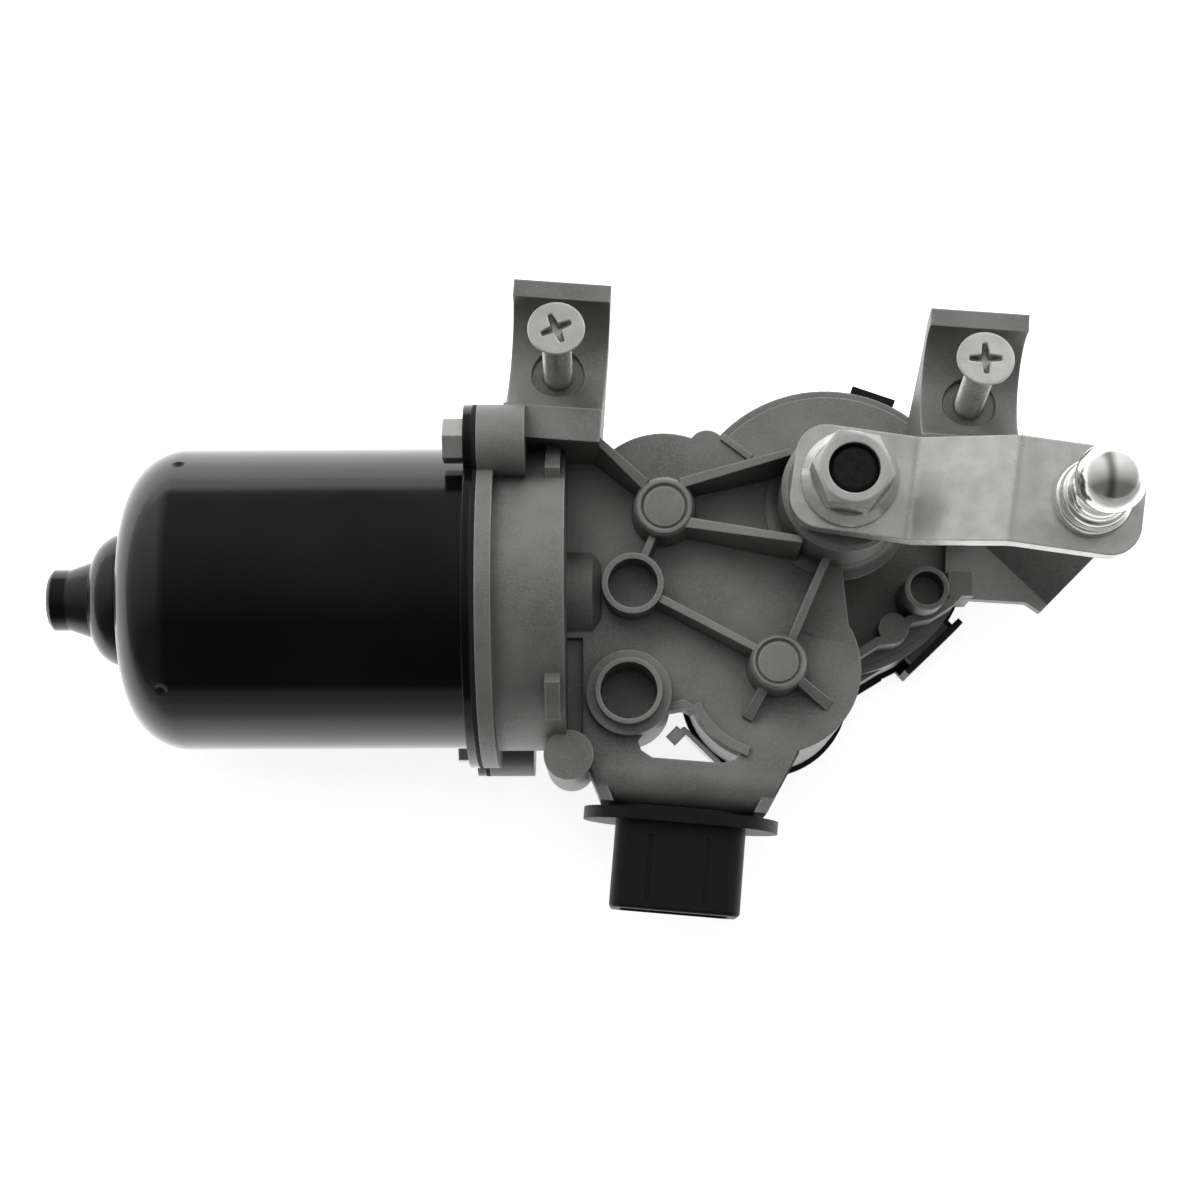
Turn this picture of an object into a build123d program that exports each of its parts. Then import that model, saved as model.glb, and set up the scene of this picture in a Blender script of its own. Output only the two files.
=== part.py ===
from build123d import *
import math
import os

# Front windscreen wiper motor with crank.
# The origin is on the output shaft axis, in the plane that the motor rests on.
# +X runs along the motor axis from the can to the gear end, and +Z runs along the output shaft,
# out of the gear housing towards the crank. All lengths are in millimetres.

# Gear train: two worms of opposite hand drive two idlers, and their pinions share the output gear
worm_module = 1.0
worm_pitch_r = 3.8
worm_length = 13.0
worm_runout = 2.0
worm_play = 0.16
thrust_ball_r = 2.0
wheel_teeth = 24
wheel_face = 7.4
spur_module = 1.25
spur_face = 7.5
spur_shift = 0.25
spur_play = 0.14
pinion_teeth = 13
pinion_overlap = 0.5
output_teeth = 44
gear_rim_wall = 3.1
gear_hub_wall = 4.0
park_disc_t = 0.8
idler_hub_r = 6.0
idler_pin_r = 2.5
run_fit = 0.05
side_play = 0.4

# Motor axis, parallel to X. The round flange touches the rest plane
motor_y = -17.3
flange_rim = 4.0

# Motor can
can_d = 62.0
can_wall = 1.8
can_length = 69.8
can_corner_r = 12.0
tail_dome_r = 13.9
tail_dome_l = 8.2
tail_neck_r = 8.15
tail_neck_l = 5.0
tail_cap_r = 6.35
tail_cap_l = 4.0
flange_gasket_t = 0.8
ear_r = 7.2
bolt_reach = 6.0
bolt_angle = 42.5
bolt_r = 2.5
bolt_hex = 8.0
bolt_head_h = 4.2
bolt_play = 0.3
dimple_r = 1.8
dimple_depth = 0.7
dimple_places = ((-133.0, 39.0), (-134.8, 134.5))

# Drum end of the gear housing
joint_x = -72.6
drum_step = 0.5
drum_wall = 2.8
drum_flange_t = 3.2
drum_length = 17.2
drum_ledge = 1.7
brush_plate_x = -66.6
brush_plate_t = 2.0

# Front ball bearing
bearing_w = 6.0
bearing_outer_r = 9.5
bearing_bore_r = 4.0
bearing_seat_wall = 3.0
bearing_ball_d = 3.2
bearing_balls = 7
snout_r = 10.8
snout_chamfer = 1.6
snout_length = 6.8

# Gear case
cover_t = 2.4
case_gasket_t = 0.8
chamber_play = 0.96
chamber_wall = 2.1
case_wall = 2.6
case_front_t = 2.8
lobe_wall = 3.6
wheel_play = 0.7
web_t = 2.6
rib_h = 8.0
rib_w = 1.4
rib_draft = 0.06
lip_w = 1.6
lip_h = 1.2
boss_disc_depth = 0.8
boss_h = 9.5
gear_lift = 2.8
pin_cap = 2.5
pin_seat_z = 1.0

# Output shaft and its tower
shaft_r = 6.0
tower_h = 18.0
tower_r = 12.6
tower_foot_r = 15.0
tower_boss_wall = 2.5
bush_wall = 2.0
bush_length = 10.0
bush_gap = 19.0
thread_r = 4.9
shaft_reach = 13.6

# Crank
crank_length = 44.6
crank_angle = -8.6
crank_width = 20.6
crank_t = 4.0
crank_rise = 12.0
crank_end_margin = 11.0
crank_ball_margin = 9.9
crank_bend_start = 14.0
crank_bend_end = 31.0
crank_bend_r = 4.0
crank_corner_r = 6.0
crank_seat_gap = 4.0
clip_t = 1.0
clip_depth = 0.5
nut_hex = 14.0
nut_flange_r = 9.5
nut_turn = -0.4
nut_h = 10.2
ball_r = 6.5
ball_height = 18.0
stud_collar_r = 7.5
stud_step_r = 6.6
stud_bead_r = 5.5
stud_neck_r = 4.4

# Tube saddles with their screws
saddle_tube_r = 11.0
saddle_wall = 3.5
saddle_width = 19.5
saddle_lift = 8.0
saddle_turn = -4.5
saddle_tilt = 9.5
saddle_places = ((-57.0, 26.0), (26.2, 19.4))
screw_r = 3.0
screw_head_r = 5.6
screw_head_h = 3.0
screw_grip = 22.0
insert_r = 5.4
insert_length = 8.0

# Plug connector
plug_x = -32.2
plug_y = -60.85
plug_drop = 6.0
plug_turn = -5.0
plug_flange_w = 40.0
plug_flange_h = 24.0
plug_flange_t = 2.5
plug_w = 26.5
plug_h = 18.0
plug_length = 17.7
plug_wall = 2.2
plug_socket_depth = 13.5
plug_corner_r = 3.0
plug_groove_x = 5.8
plug_groove_depth = 0.3
plug_neck_w = 21.0
plug_neck_h = 12.0
seal_t = 0.8
bracket_wall = 4.0
bracket_bottom_z = 17.0
terminal_count = 5

# Armature
magnet_t = 6.0
air_gap = 0.6
stack_margin = 34.4
stack_setback = 16.4
slot_count = 12
coil_overhang = 9.0
commutator_r = 11.5
commutator_front_x = -65.0
commutator_length = 13.0
commutator_bars = 12
brush_share = 0.588
brush_angles = (20, 110, 200)
magnet_overhang = 5.0
magnet_arc = 128.0
rear_ball_r = 9.0
rear_ball_half = 5.0

# Places read from the front view
cup_a = (-42.0, -16.9)
cup_b = (-42.9, -38.4)
cup_c = (18.9, -15.4)
cup_b_r = 5.7
cup_b_step_r = 8.6
cup_b_depth = 12.0
post_place = (-55.0, -50.9)
dowel_place = (-26.6, 12.5)
dowel_r = 3.9
snap_angles = (70.5, -46.5)
snap_spans = (9.8, 16.4, 9.0)
snap_gap = 1.2
snap_strap_t = 1.4

# Derived sizes of the gear train
wheel_r = worm_module * wheel_teeth / 2
wheel_tip_r = wheel_r + worm_module
worm_tip_r = worm_pitch_r + worm_module
worm_root_r = worm_pitch_r - 1.2 * worm_module
worm_pitch = math.pi * worm_module
idler_offset = wheel_r + worm_pitch_r
pinion_space_r = spur_module * (pinion_teeth / 2 + 1.25) + 0.8
output_r = spur_module * output_teeth / 2
output_tip_r = output_r + spur_module * (1.0 - spur_shift)
output_root_r = output_r - spur_module * (1.25 + spur_shift)
spur_centres = spur_module * (pinion_teeth + output_teeth) / 2
idler_ys = (motor_y + idler_offset, motor_y - idler_offset)
idler_places = tuple((-math.sqrt(spur_centres ** 2 - y ** 2), y) for y in idler_ys)

# Derived sizes of the motor
can_r = can_d / 2
can_inner_r = can_r - can_wall
armature_r = can_inner_r - magnet_t - air_gap
flange_r = can_r + flange_rim
motor_z = flange_r
drum_r = can_r + drum_step
drum_inner_r = drum_r - drum_wall
bolt_circle_r = can_r + bolt_reach
bearing_race_r = (bearing_outer_r + bearing_bore_r) / 2
bearing_seat_r = bearing_outer_r + bearing_seat_wall

# Derived places along X
can_face_x = joint_x - flange_gasket_t
can_back_x = can_face_x - can_wall
can_end_x = can_back_x - can_length
tail_end_x = can_end_x - tail_dome_l - tail_neck_l - tail_cap_l
drum_end_x = joint_x + drum_length
bearing_front_x = drum_end_x - 1.0
bearing_rear_x = bearing_front_x - bearing_w
worm_xs = (idler_places[0][0], idler_places[1][0])
worm_shaft_end_x = worm_xs[1] + worm_length / 2 + worm_runout
worm_bore_r = worm_tip_r + 0.7
stack_front_x = joint_x - stack_setback
stack_length = can_length - stack_margin
magnet_length = stack_length + 2 * magnet_overhang
magnet_front_x = stack_front_x + magnet_overhang

# Derived heights and radii of the case
case_z = cover_t + case_gasket_t
gear_z = case_z + gear_lift
gear_top_z = gear_z + spur_face
case_ceiling_z = gear_top_z + side_play + 0.3
case_front_z = case_ceiling_z + case_front_t
chamber_r = output_tip_r + chamber_play
case_r = chamber_r + chamber_wall
lobe_r = wheel_tip_r + wheel_play + lobe_wall
wheel_z = motor_z - wheel_face / 2
web_ceiling_z = motor_z + wheel_face / 2 + wheel_play
web_z = web_ceiling_z + web_t
rib_top_z = web_z + rib_h
boss_top_z = web_z + boss_h
tower_top_z = web_z + tower_h
saddle_seat_z = web_z + saddle_lift
plug_z = motor_z - plug_drop
bush_r = shaft_r + bush_wall
tower_boss_r = bush_r + tower_boss_wall
lower_bush_z = case_ceiling_z + side_play + 0.4
upper_bush_z = lower_bush_z + bush_length + bush_gap
clip_z = tower_top_z + 0.3
crank_z = tower_top_z + crank_seat_gap
crank_ball_z = crank_z + crank_rise
shaft_end_z = crank_z + shaft_reach
ball_z = crank_ball_z + crank_t + ball_height
bolt_places = tuple(
    (motor_y + side * bolt_circle_r * math.cos(math.radians(bolt_angle)),
     motor_z + side * bolt_circle_r * math.sin(math.radians(bolt_angle)))
    for side in (1, -1)
)


def cyl_z(x, y, z0, z1, r):
    return Pos(x, y, (z0 + z1) / 2) * Cylinder(r, z1 - z0)


def cyl_x(x0, x1, r, y=motor_y, z=motor_z):
    return Pos((x0 + x1) / 2, y, z) * Rot(0, 90, 0) * Cylinder(r, x1 - x0)


def block(x0, x1, y0, y1, z0, z1):
    return Pos((x0 + x1) / 2, (y0 + y1) / 2, (z0 + z1) / 2) * Box(x1 - x0, y1 - y0, z1 - z0)


def prism(sketch, z0, z1):
    return extrude(Pos(0, 0, z0) * sketch, amount=z1 - z0)


def polygon(points):
    return make_face(Polyline(*points, close=True))


def turned_x(points):
    """Revolve a closed (x, radius) outline about the motor axis."""
    return Pos(0, motor_y, motor_z) * revolve(polygon(points), Axis.X, 360)


def turned_z(points, x=0.0, y=0.0):
    """Revolve a closed (radius, z) outline about an axis parallel to Z."""
    face = Plane.XZ * polygon(points)
    return Pos(x, y, 0) * revolve(face, Axis.Z, 360)


def ring_z(x, y, z0, z1, r_out, r_in):
    return cyl_z(x, y, z0, z1, r_out) - cyl_z(x, y, z0, z1, r_in)


def ring_x(x0, x1, r_out, r_in):
    return cyl_x(x0, x1, r_out) - cyl_x(x0, x1, r_in)


def bar(start, end, width, z0, z1):
    """A straight rib between two points in plan, with round ends."""
    dx, dy = end[0] - start[0], end[1] - start[1]
    length = math.hypot(dx, dy)
    angle = math.degrees(math.atan2(dy, dx))
    middle = Pos((start[0] + end[0]) / 2, (start[1] + end[1]) / 2, 0) * Rot(0, 0, angle)
    return prism(middle * SlotOverall(length + width, width), z0, z1)


def rib(start, end, floor_z, start_z, end_z, crest_w=rib_w):
    """A rib with drafted sides between two points in plan. Its crest runs from one height to another."""
    dx, dy = end[0] - start[0], end[1] - start[1]
    length = math.hypot(dx, dy)
    high_z = max(start_z, end_z)
    crest = crest_w / 2
    foot = crest + rib_draft * (high_z - floor_z)
    section = polygon([(-foot, floor_z), (foot, floor_z), (crest, high_z), (-crest, high_z)])
    body = extrude(Plane.YZ * section, amount=length)
    side = polygon([(0, floor_z), (length, floor_z), (length, end_z), (0, start_z)])
    body = body & extrude(Plane.XZ * side, amount=foot + 1, both=True)
    return Pos(start[0], start[1], 0) * Rot(0, 0, math.degrees(math.atan2(dy, dx))) * body


def polar(centre, radius, angle):
    turn = math.radians(angle)
    return (centre[0] + radius * math.cos(turn), centre[1] + radius * math.sin(turn))


def involute_point(base_r, r):
    """Angle swept by an involute from its base circle to radius r, in radians."""
    if r <= base_r:
        return 0.0
    pressure = math.acos(base_r / r)
    return math.tan(pressure) - pressure


def gear_outline(teeth, module, shift, play, phase, root_depth=1.25, tip_height=1.0):
    """Outline of an involute gear. One tooth is centred on the phase angle, in degrees."""
    pitch_r = teeth * module / 2
    base_r = pitch_r * math.cos(math.radians(20))
    tip_r = pitch_r + module * (tip_height + shift)
    root_r = pitch_r - module * (root_depth - shift)
    tooth = module * (math.pi / 2 + 2 * shift * math.tan(math.radians(20))) - play
    half_pitch = tooth / (2 * pitch_r) + involute_point(base_r, pitch_r)
    flank_start = max(base_r, root_r)
    radii = [flank_start + (tip_r - flank_start) * k / 3 for k in range(4)]
    flank = [(r, half_pitch - involute_point(base_r, r)) for r in radii]
    if root_r < base_r:
        flank.insert(0, (root_r, half_pitch))
    points = []
    for k in range(teeth):
        centre = math.radians(phase) + 2 * math.pi * k / teeth
        left = [(r, centre - a) for r, a in flank]
        right = [(r, centre + a) for r, a in reversed(flank)]
        points += [(r * math.cos(a), r * math.sin(a)) for r, a in left + right]
    return polygon(points)


def idler_phases(index):
    """Tooth phases of an idler's wheel and pinion that put them in mesh at rest."""
    x, y = idler_places[index]
    wheel_contact = -90.0 if index == 0 else 90.0
    wheel_phase = wheel_contact + 180.0 / wheel_teeth
    direction = math.degrees(math.atan2(y, x))
    pitch_angle = 360.0 / output_teeth
    lead = round(direction / pitch_angle) * pitch_angle - direction
    pinion_phase = direction + 180.0 - lead * output_teeth / pinion_teeth + 180.0 / pinion_teeth
    return wheel_phase, pinion_phase


def web_outline():
    """Plan of the raised half of the case, which holds the worms and both idlers."""
    (ax, ay), (bx, by) = idler_places
    sketch = Pos(ax, ay) * Circle(lobe_r) + Pos(bx, by) * Circle(lobe_r)
    sketch += Pos(*dowel_place) * Circle(dowel_r)
    sketch += polygon([
        (drum_end_x, 12.2), (-48.6, 12.2), (-44.0, 10.0), (ax + 3, ay + lobe_r - 1.2), dowel_place,
        (-23.9, 15.3), (-17.2, 10.4), (0.0, 10.0), (0.4, -14.5), (2.6, -29.6), (2.9, -33.0), (bx, by),
        (-30.5, -36.0), (drum_end_x, -36.0),
    ])
    return sketch


def case_outline(grow=0.0):
    """Plan of the whole case where the rear cover joins it."""
    (ax, ay), (bx, by) = idler_places
    sketch = Circle(case_r + grow)
    for x, y in idler_places:
        sketch += Pos(x, y) * Circle(lobe_r + grow)
    sketch += Pos(*dowel_place) * Circle(dowel_r + grow)
    sketch += polygon([
        (ax, ay + lobe_r + grow), dowel_place, (-24.5, 15.9 + grow), (-18.0, 21.5 + grow), (0, 0),
        (11.6 + grow, -29.3 - grow), (4.8 + grow, -33.4 - grow), (bx, by), (bx - lobe_r, -36.0 - grow),
        (ax - 9.0, -36.0 - grow),
        (ax - lobe_r - grow + 5.0, -33.0 - grow), (ax - lobe_r - grow, ay),
    ])
    return sketch


def snap_frames():
    """Places of the cover's snap loops: centre of the arc, its radius, the angle and the span."""
    rounds = [((0.0, 0.0), case_r, angle) for angle in snap_angles]
    rounds.append((idler_places[0], lobe_r, 111.0))
    return [place + (span,) for place, span in zip(rounds, snap_spans)]


def saddle_frame(place):
    return Pos(place[0], place[1], saddle_seat_z) * Rot(0, 0, saddle_turn)


def saddle_axis_point():
    """Tube axis in the saddle's own (y, z), measured from the foot of the screw."""
    tilt = math.radians(saddle_tilt)
    return saddle_tube_r * math.sin(tilt), saddle_tube_r * math.cos(tilt)


def saddle_solid(root_z):
    """Half pipe that cradles the linkage tube, with its root wall, gussets and screw boss."""
    ty, tz = saddle_axis_point()
    outer_r = saddle_tube_r + saddle_wall
    half_w = saddle_width / 2
    drop = root_z - saddle_seat_z
    cradle = Pos(0, ty, tz) * Rot(0, 90, 0) * Cylinder(outer_r, saddle_width)
    cradle -= block(-half_w, half_w, ty - outer_r, ty + outer_r, tz, tz + outer_r)
    near_y = ty - outer_r
    root = block(-half_w, half_w, near_y - 3.2, near_y + 4.0, drop, tz)
    gusset_outline = [
        (near_y - 3.0, drop), (near_y - 3.0, tz - 6.0), (ty, tz - outer_r + 1.5),
        (ty + outer_r * 0.72, tz - outer_r * 0.66), (ty + outer_r - 0.6, tz - 3.0),
        (ty + outer_r * 0.45, tz - outer_r - 3.0), (near_y + 6.0, drop),
    ]
    profile = Plane.YZ * polygon(gusset_outline)
    gussets = None
    for side in (-1, 1):
        plate = extrude(Pos(side * (half_w - 1.5) - 1.5, 0, 0) * profile, amount=3.0)
        gussets = plate if gussets is None else gussets + plate
    screw_boss = Rot(-saddle_tilt, 0, 0) * cyl_z(0, 0, -insert_length - 3.0, 1.0, insert_r + 2.6)
    solid = cradle + root + gussets + screw_boss
    solid -= Pos(0, ty, tz) * Rot(0, 90, 0) * Cylinder(saddle_tube_r, saddle_width + 2)
    solid -= Rot(-saddle_tilt, 0, 0) * cyl_z(0, 0, -insert_length, 3.0, insert_r)
    solid -= Rot(-saddle_tilt, 0, 0) * cyl_z(0, 0, -insert_length - 6.0, 0.0, screw_r + 0.4)
    return solid


def tower_solid():
    """Round tower for the output shaft, with a rounded foot on the web."""
    foot = tower_foot_r - tower_r
    face = polygon([(0, case_front_z), (tower_boss_r, case_front_z), (tower_boss_r, web_z - 1.0),
                    (tower_foot_r, web_z - 1.0), (tower_foot_r, web_z + 0.4), (tower_r, web_z + 0.4),
                    (tower_r, tower_top_z - 1.0), (tower_r - 1.0, tower_top_z), (0, tower_top_z)])
    inner = [v for v in face.vertices() if abs(v.X - tower_r) < 0.01 and abs(v.Y - web_z - 0.4) < 0.01]
    face = fillet(inner, foot - 0.1)
    return revolve(Plane.XZ * face, Axis.Z, 360)


def disc_boss(x, y, r, z0, z1, disc_r):
    """A drafted cast boss with a raised rim round a shallow disc."""
    floor_z = z1 - boss_disc_depth
    return turned_z([(0, z0), (r + 0.5, z0), (r, z1 - 0.9), (r - 0.6, z1), (disc_r + 0.5, z1),
                     (disc_r, floor_z), (0, floor_z)], x, y)


def cup(x, y, r_out, r_in, z0, z1, floor_z):
    return cyl_z(x, y, z0, z1, r_out), cyl_z(x, y, floor_z, z1 + 1, r_in)


def drum_solid():
    """The round end of the housing that the motor can bolts to."""
    flange = cyl_x(joint_x, joint_x + drum_flange_t, flange_r)
    solid = flange + cyl_x(joint_x, drum_end_x, drum_r)
    for y, z in bolt_places:
        solid += cyl_x(joint_x, joint_x + 9.5, ear_r, y, z)
    for angle in (bolt_angle, bolt_angle + 94.0):
        y = motor_y + drum_r * math.cos(math.radians(angle))
        z = motor_z + drum_r * math.sin(math.radians(angle))
        tab = Pos(drum_end_x - 2.4, y, z) * Rot(angle, 0, 0) * Box(3.0, 4.4, 9.6)
        solid += tab
    return solid


def drum_cuts():
    cuts = cyl_x(joint_x - 1, brush_plate_x + brush_plate_t, drum_inner_r)
    cuts += cyl_x(joint_x, drum_end_x - drum_wall, drum_inner_r - drum_ledge)
    return cuts


def bracket_solid():
    """The plate and end wall that carry the plug connector."""
    frame = Pos(plug_x, plug_y, 0) * Rot(0, 0, plug_turn)
    profile = polygon([(0, bracket_bottom_z), (0, web_z), (34, web_z), (34, web_z - 3.4),
                       (bracket_wall, web_z - 3.4), (bracket_wall, bracket_bottom_z)])
    corner = [v for v in profile.vertices() if abs(v.X) < 0.01 and abs(v.Y - web_z) < 0.01]
    profile = fillet(corner, 6.5)
    sheet = extrude(Plane.YZ * profile, amount=60, both=True)
    sheet = frame * sheet
    outline = polygon([
        (drum_end_x, -30), (drum_end_x, -46), (-50.8, -52.5), (-49.2, -57.0),
        (-47.6, -62.0), (-47.0, -66),
        (-16.2, -68), (-16.6, -63.5), (-10.9, -53.6), (-8.8, -49.4), (-8.0, -30)
    ])
    body = sheet & prism(outline, 0, web_z + 1)
    for edge in (((-49.8, -53.5), (-46.2, -62.6)), ((-9.8, -49.8), (-17.4, -63.6))):
        start, end = edge
        body += bar(start, end, 2.4, bracket_bottom_z + 8, web_z - 1)
    return body - frame * block(-30, 30, -20, 0, 0, web_z + 5)


def window_sketch():
    """Opening in the bracket plate, between the deep cup and the lip round the second idler."""
    window = polygon([
        (-41.1, -47.8), (-40.5, -49.6), (-38.3, -51.1), (-24.3, -52.3), (-21.6, -51.6), (-19.8, -50.2),
        (-22.0, -40.0), (-31.2, -41.0), (-34.6, -41.4), (-38.0, -44.0),
    ])
    window -= Pos(*idler_places[1]) * Circle(lobe_r + lip_w)
    window -= Pos(*cup_b) * Circle(cup_b_step_r)
    return window


def window_lip():
    """Raised rim along the idler side of the window, turned in to meet the deep cup."""
    bx, by = idler_places[1]
    start_z, top_z = web_z - 6.0, web_z + lip_h
    sector = polygon([(bx, by), (-33.4, -42.2), (-30.0, -53.0), (-19.4, -51.6)])
    lip = ring_z(bx, by, start_z, top_z, lobe_r + lip_w, lobe_r - 0.4) & prism(sector, start_z, top_z)
    lip += bar((-30.5, -41.3), (-31.9, -40.4), lip_w, start_z, top_z)
    return lip + bar((-31.9, -40.4), (-35.0, -41.0), lip_w, start_z, top_z)


def foot_solid():
    """A V-shaped support arm on the gear end of the case."""
    crease_start = Pos(22.0, 8.5, 15.0) * Rot(0, 0, -45)
    wing_angle = 24.0
    arms = None
    for side in (-1, 1):
        wing = Pos(0, side * 9.0, 0) * Box(70, 18.0, 3.0)
        wing = crease_start * Rot(side * wing_angle, 0, 0) * wing
        arms = wing if arms is None else arms + wing
    plan = polygon([(24, -15.6), (42.1, -15.8), (47.0, -19.0), (49.1, -17.8), (57.6, -8.6),
                    (52, 2), (26, 8)])
    return arms & prism(plan, 3.5, 40)


def pocket_rim():
    points = [(4.0, -28.6), (9.4, -25.2), (13.0, -24.8), (16.2, -20.6), (20.6, -19.6), (25.0, -16.8),
              (27.5, -14.2)]
    rim = None
    for start, end in zip(points, points[1:]):
        piece = bar(start, end, 1.8, case_front_z - 1, case_front_z + 8.5)
        rim = piece if rim is None else rim + piece
    rim += cyl_z(12.8, -22.4, case_front_z - 1, case_front_z + 8.5, 3.2)
    rim += block(24.5, 29.8, -15.6, -10.4, case_front_z - 6, case_front_z + 8.5)
    return rim


def web_ribs():
    """Ribs that tie both idler bosses, the cup, the tower and the saddle together."""
    (ax, ay), (bx, by) = idler_places
    floor = web_z - 1
    crest = rib_top_z + 1
    tower_end_z = tower_top_z - 3.0
    wall_z = saddle_seat_z + saddle_axis_point()[1]
    ribs = rib((ax + 3.2, ay + 4.8), (-10.6, 8.2), floor, crest, tower_end_z)
    ribs += rib((ax + 4.2, ay - 3.2), (-8.4, -9.6), floor, crest, tower_end_z)
    ribs += rib((ax, ay), cup_a, floor, rib_top_z - 1, rib_top_z - 1)
    ribs += rib(cup_a, (bx - 1, by + 1), floor, rib_top_z - 1, crest)
    ribs += rib((bx + 2.5, by + 4), (-3.0, -11.4), floor, rib_top_z - 2, crest)
    ribs += rib((bx, by), polar((bx, by), 12.0, -120), floor, crest, web_z + 1.0)
    ribs += rib((bx, by), polar((bx, by), 13.4, -36), floor, crest, web_z + 0.2)
    ribs += rib((drum_end_x - 1, 11.2), (-48.6, 11.2), floor, wall_z, wall_z)
    ribs += rib((-48.8, 10.6), (ax - 3.8, ay + 4.6), floor, wall_z - 3.0, crest)
    ribs += rib((-23.4, 14.9), (-17.6, 10.4), floor - 12, web_z + 0.8, web_z + 0.8)
    return ribs


def web_ramp():
    """Low ramp from the web up to the foot of the tower, between the rib and the edge of the web."""
    plan = polygon([(-3.2, -11.5), (-10.2, -24.8), (2.2, -29.4), (0.2, -11.5)])
    slope = polygon([(0, web_z - 1), (18, web_z - 1), (18, web_z + 3.6), (0, web_z)])
    slope = Pos(-4.0, -27.2, 0) * Rot(0, 0, 80) * extrude(Plane.XZ * slope, amount=12, both=True)
    return prism(plan, web_z - 1, web_z + 5) & slope


def case_shell():
    """Outer form: the raised web block, the flange half, the gear chamber, the drum and the bracket."""
    solid = prism(web_outline(), case_z, web_z)
    solid += prism(case_outline(), case_z, case_front_z - 4)
    solid += cyl_z(0, 0, case_z, case_front_z, case_r - 1.6)
    solid += cyl_z(0, 0, case_z, case_front_z - 1.2, case_r)
    solid += drum_solid()
    snout_end_x = drum_end_x + snout_length
    solid += turned_x([(drum_end_x - 1, 0), (drum_end_x - 1, snout_r), (snout_end_x - snout_chamfer, snout_r),
                       (snout_end_x, snout_r - snout_chamfer), (snout_end_x, 0)])
    solid += bracket_solid() - prism(window_sketch(), web_z - 6, web_z + 2)
    solid -= block(drum_end_x, drum_end_x + 3.2, -47.0, -26.8, web_z - 2.0, web_z + 1)
    return solid


def case_hollow():
    """What is cast out from the rear. The tower, the worm tunnel and the deep cup are left standing."""
    core = prism(offset(web_outline(), -case_wall), case_z - 1, web_ceiling_z)
    core -= cyl_x(drum_end_x - 2, worm_shaft_end_x + 6.0, worm_bore_r + 2.4)
    core -= cyl_z(0, 0, case_ceiling_z, web_z, tower_boss_r)
    core -= block(drum_end_x - 1, drum_end_x + 2.6, -60, 20, 0, web_z)
    core -= cyl_z(cup_b[0], cup_b[1], 18, web_z, cup_b_step_r)
    return core


def gear_chamber():
    return cyl_z(0, 0, case_z - 1, case_ceiling_z, chamber_r)


def case_details():
    """Tower, ribs, bosses, post, saddles and foot that stand on the shell."""
    (ax, ay), (bx, by) = idler_places
    solid = tower_solid() + web_ribs() + web_ramp() + window_lip() + pocket_rim()
    solid += foot_solid() - cyl_z(0, 0, 0, case_front_z - 1.2, case_r - 1.0)
    solid += disc_boss(ax, ay, 6.1, web_z - 1, boss_top_z, 4.3)
    solid += disc_boss(bx, by, 5.6, web_z - 1, boss_top_z, 4.2)
    solid += cyl_z(post_place[0], post_place[1], case_front_z + 2, web_z + 4, 5.0)
    solid += bar(post_place, (-53.0, -43.0), 5.0, case_front_z + 5, web_z - 2)
    for root_z, place in zip((web_z - 4.0, case_front_z - 6.0), saddle_places):
        solid += saddle_frame(place) * saddle_solid(root_z)
    return solid


def cup_shapes():
    """Outer cylinder and hole of each round cup."""
    return (
        cup(cup_a[0], cup_a[1], 6.2, 5.0, web_z - 1, rib_top_z, web_z + 0.6),
        cup(cup_b[0], cup_b[1], 6.7, cup_b_r, web_z - 1, rib_top_z - 1, rib_top_z - 1 - cup_b_depth),
        cup(cup_c[0], cup_c[1], 4.6, 3.5, case_front_z - 1, case_front_z + 17, case_front_z + 11),
    )


def motor_end_cuts():
    """Bores on the motor axis for both worms and the thrust pad."""
    cuts = cyl_x(bearing_front_x - 1, worm_shaft_end_x + 0.8, worm_bore_r)
    cuts += cyl_x(worm_shaft_end_x, worm_shaft_end_x + 3.2, thrust_ball_r * 2)
    return cuts


def idler_cuts():
    cuts = None
    for x, y in idler_places:
        space = cyl_z(x, y, wheel_z - 0.8, web_ceiling_z, wheel_tip_r + wheel_play)
        space += cyl_z(x, y, case_z - 1, case_ceiling_z + 0.6, pinion_space_r)
        space += cyl_z(x, y, case_z - 1, wheel_z, idler_hub_r + 1.0)
        space += cyl_z(x, y, web_ceiling_z - 1, boss_top_z - pin_cap, idler_pin_r)
        cuts = space if cuts is None else cuts + space
    return cuts


def shaft_cuts():
    cuts = cyl_z(0, 0, case_ceiling_z - 1, upper_bush_z + bush_length, bush_r)
    return cuts + cyl_z(0, 0, upper_bush_z + bush_length - 1, tower_top_z + 1, bush_r + 1.2)


def connector_opening():
    half_w, half_h = plug_neck_w / 2 + 0.3, plug_neck_h / 2 + 0.3
    return plug_frame() * block(-half_w, half_w, -1, bracket_wall + 1, -half_h, half_h)


def screw_cuts(place):
    """Insert seat and clearance hole under one saddle."""
    cuts = cyl_z(0, 0, -insert_length, 3.0, insert_r)
    cuts += cyl_z(0, 0, -insert_length - 6.0, 0.0, screw_r + 0.4)
    return saddle_frame(place) * Rot(-saddle_tilt, 0, 0) * cuts


def snap_wedge(centre, radius, angle, span):
    x, y = polar(centre, radius, angle)
    reach = snap_gap + snap_strap_t - 0.2
    nose = block(-2.3, reach, -span / 2 + 2.6, span / 2 - 2.6, case_z + 2.5, case_z + 5.9)
    return Pos(x, y, 0) * Rot(0, 0, angle) * nose


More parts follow.
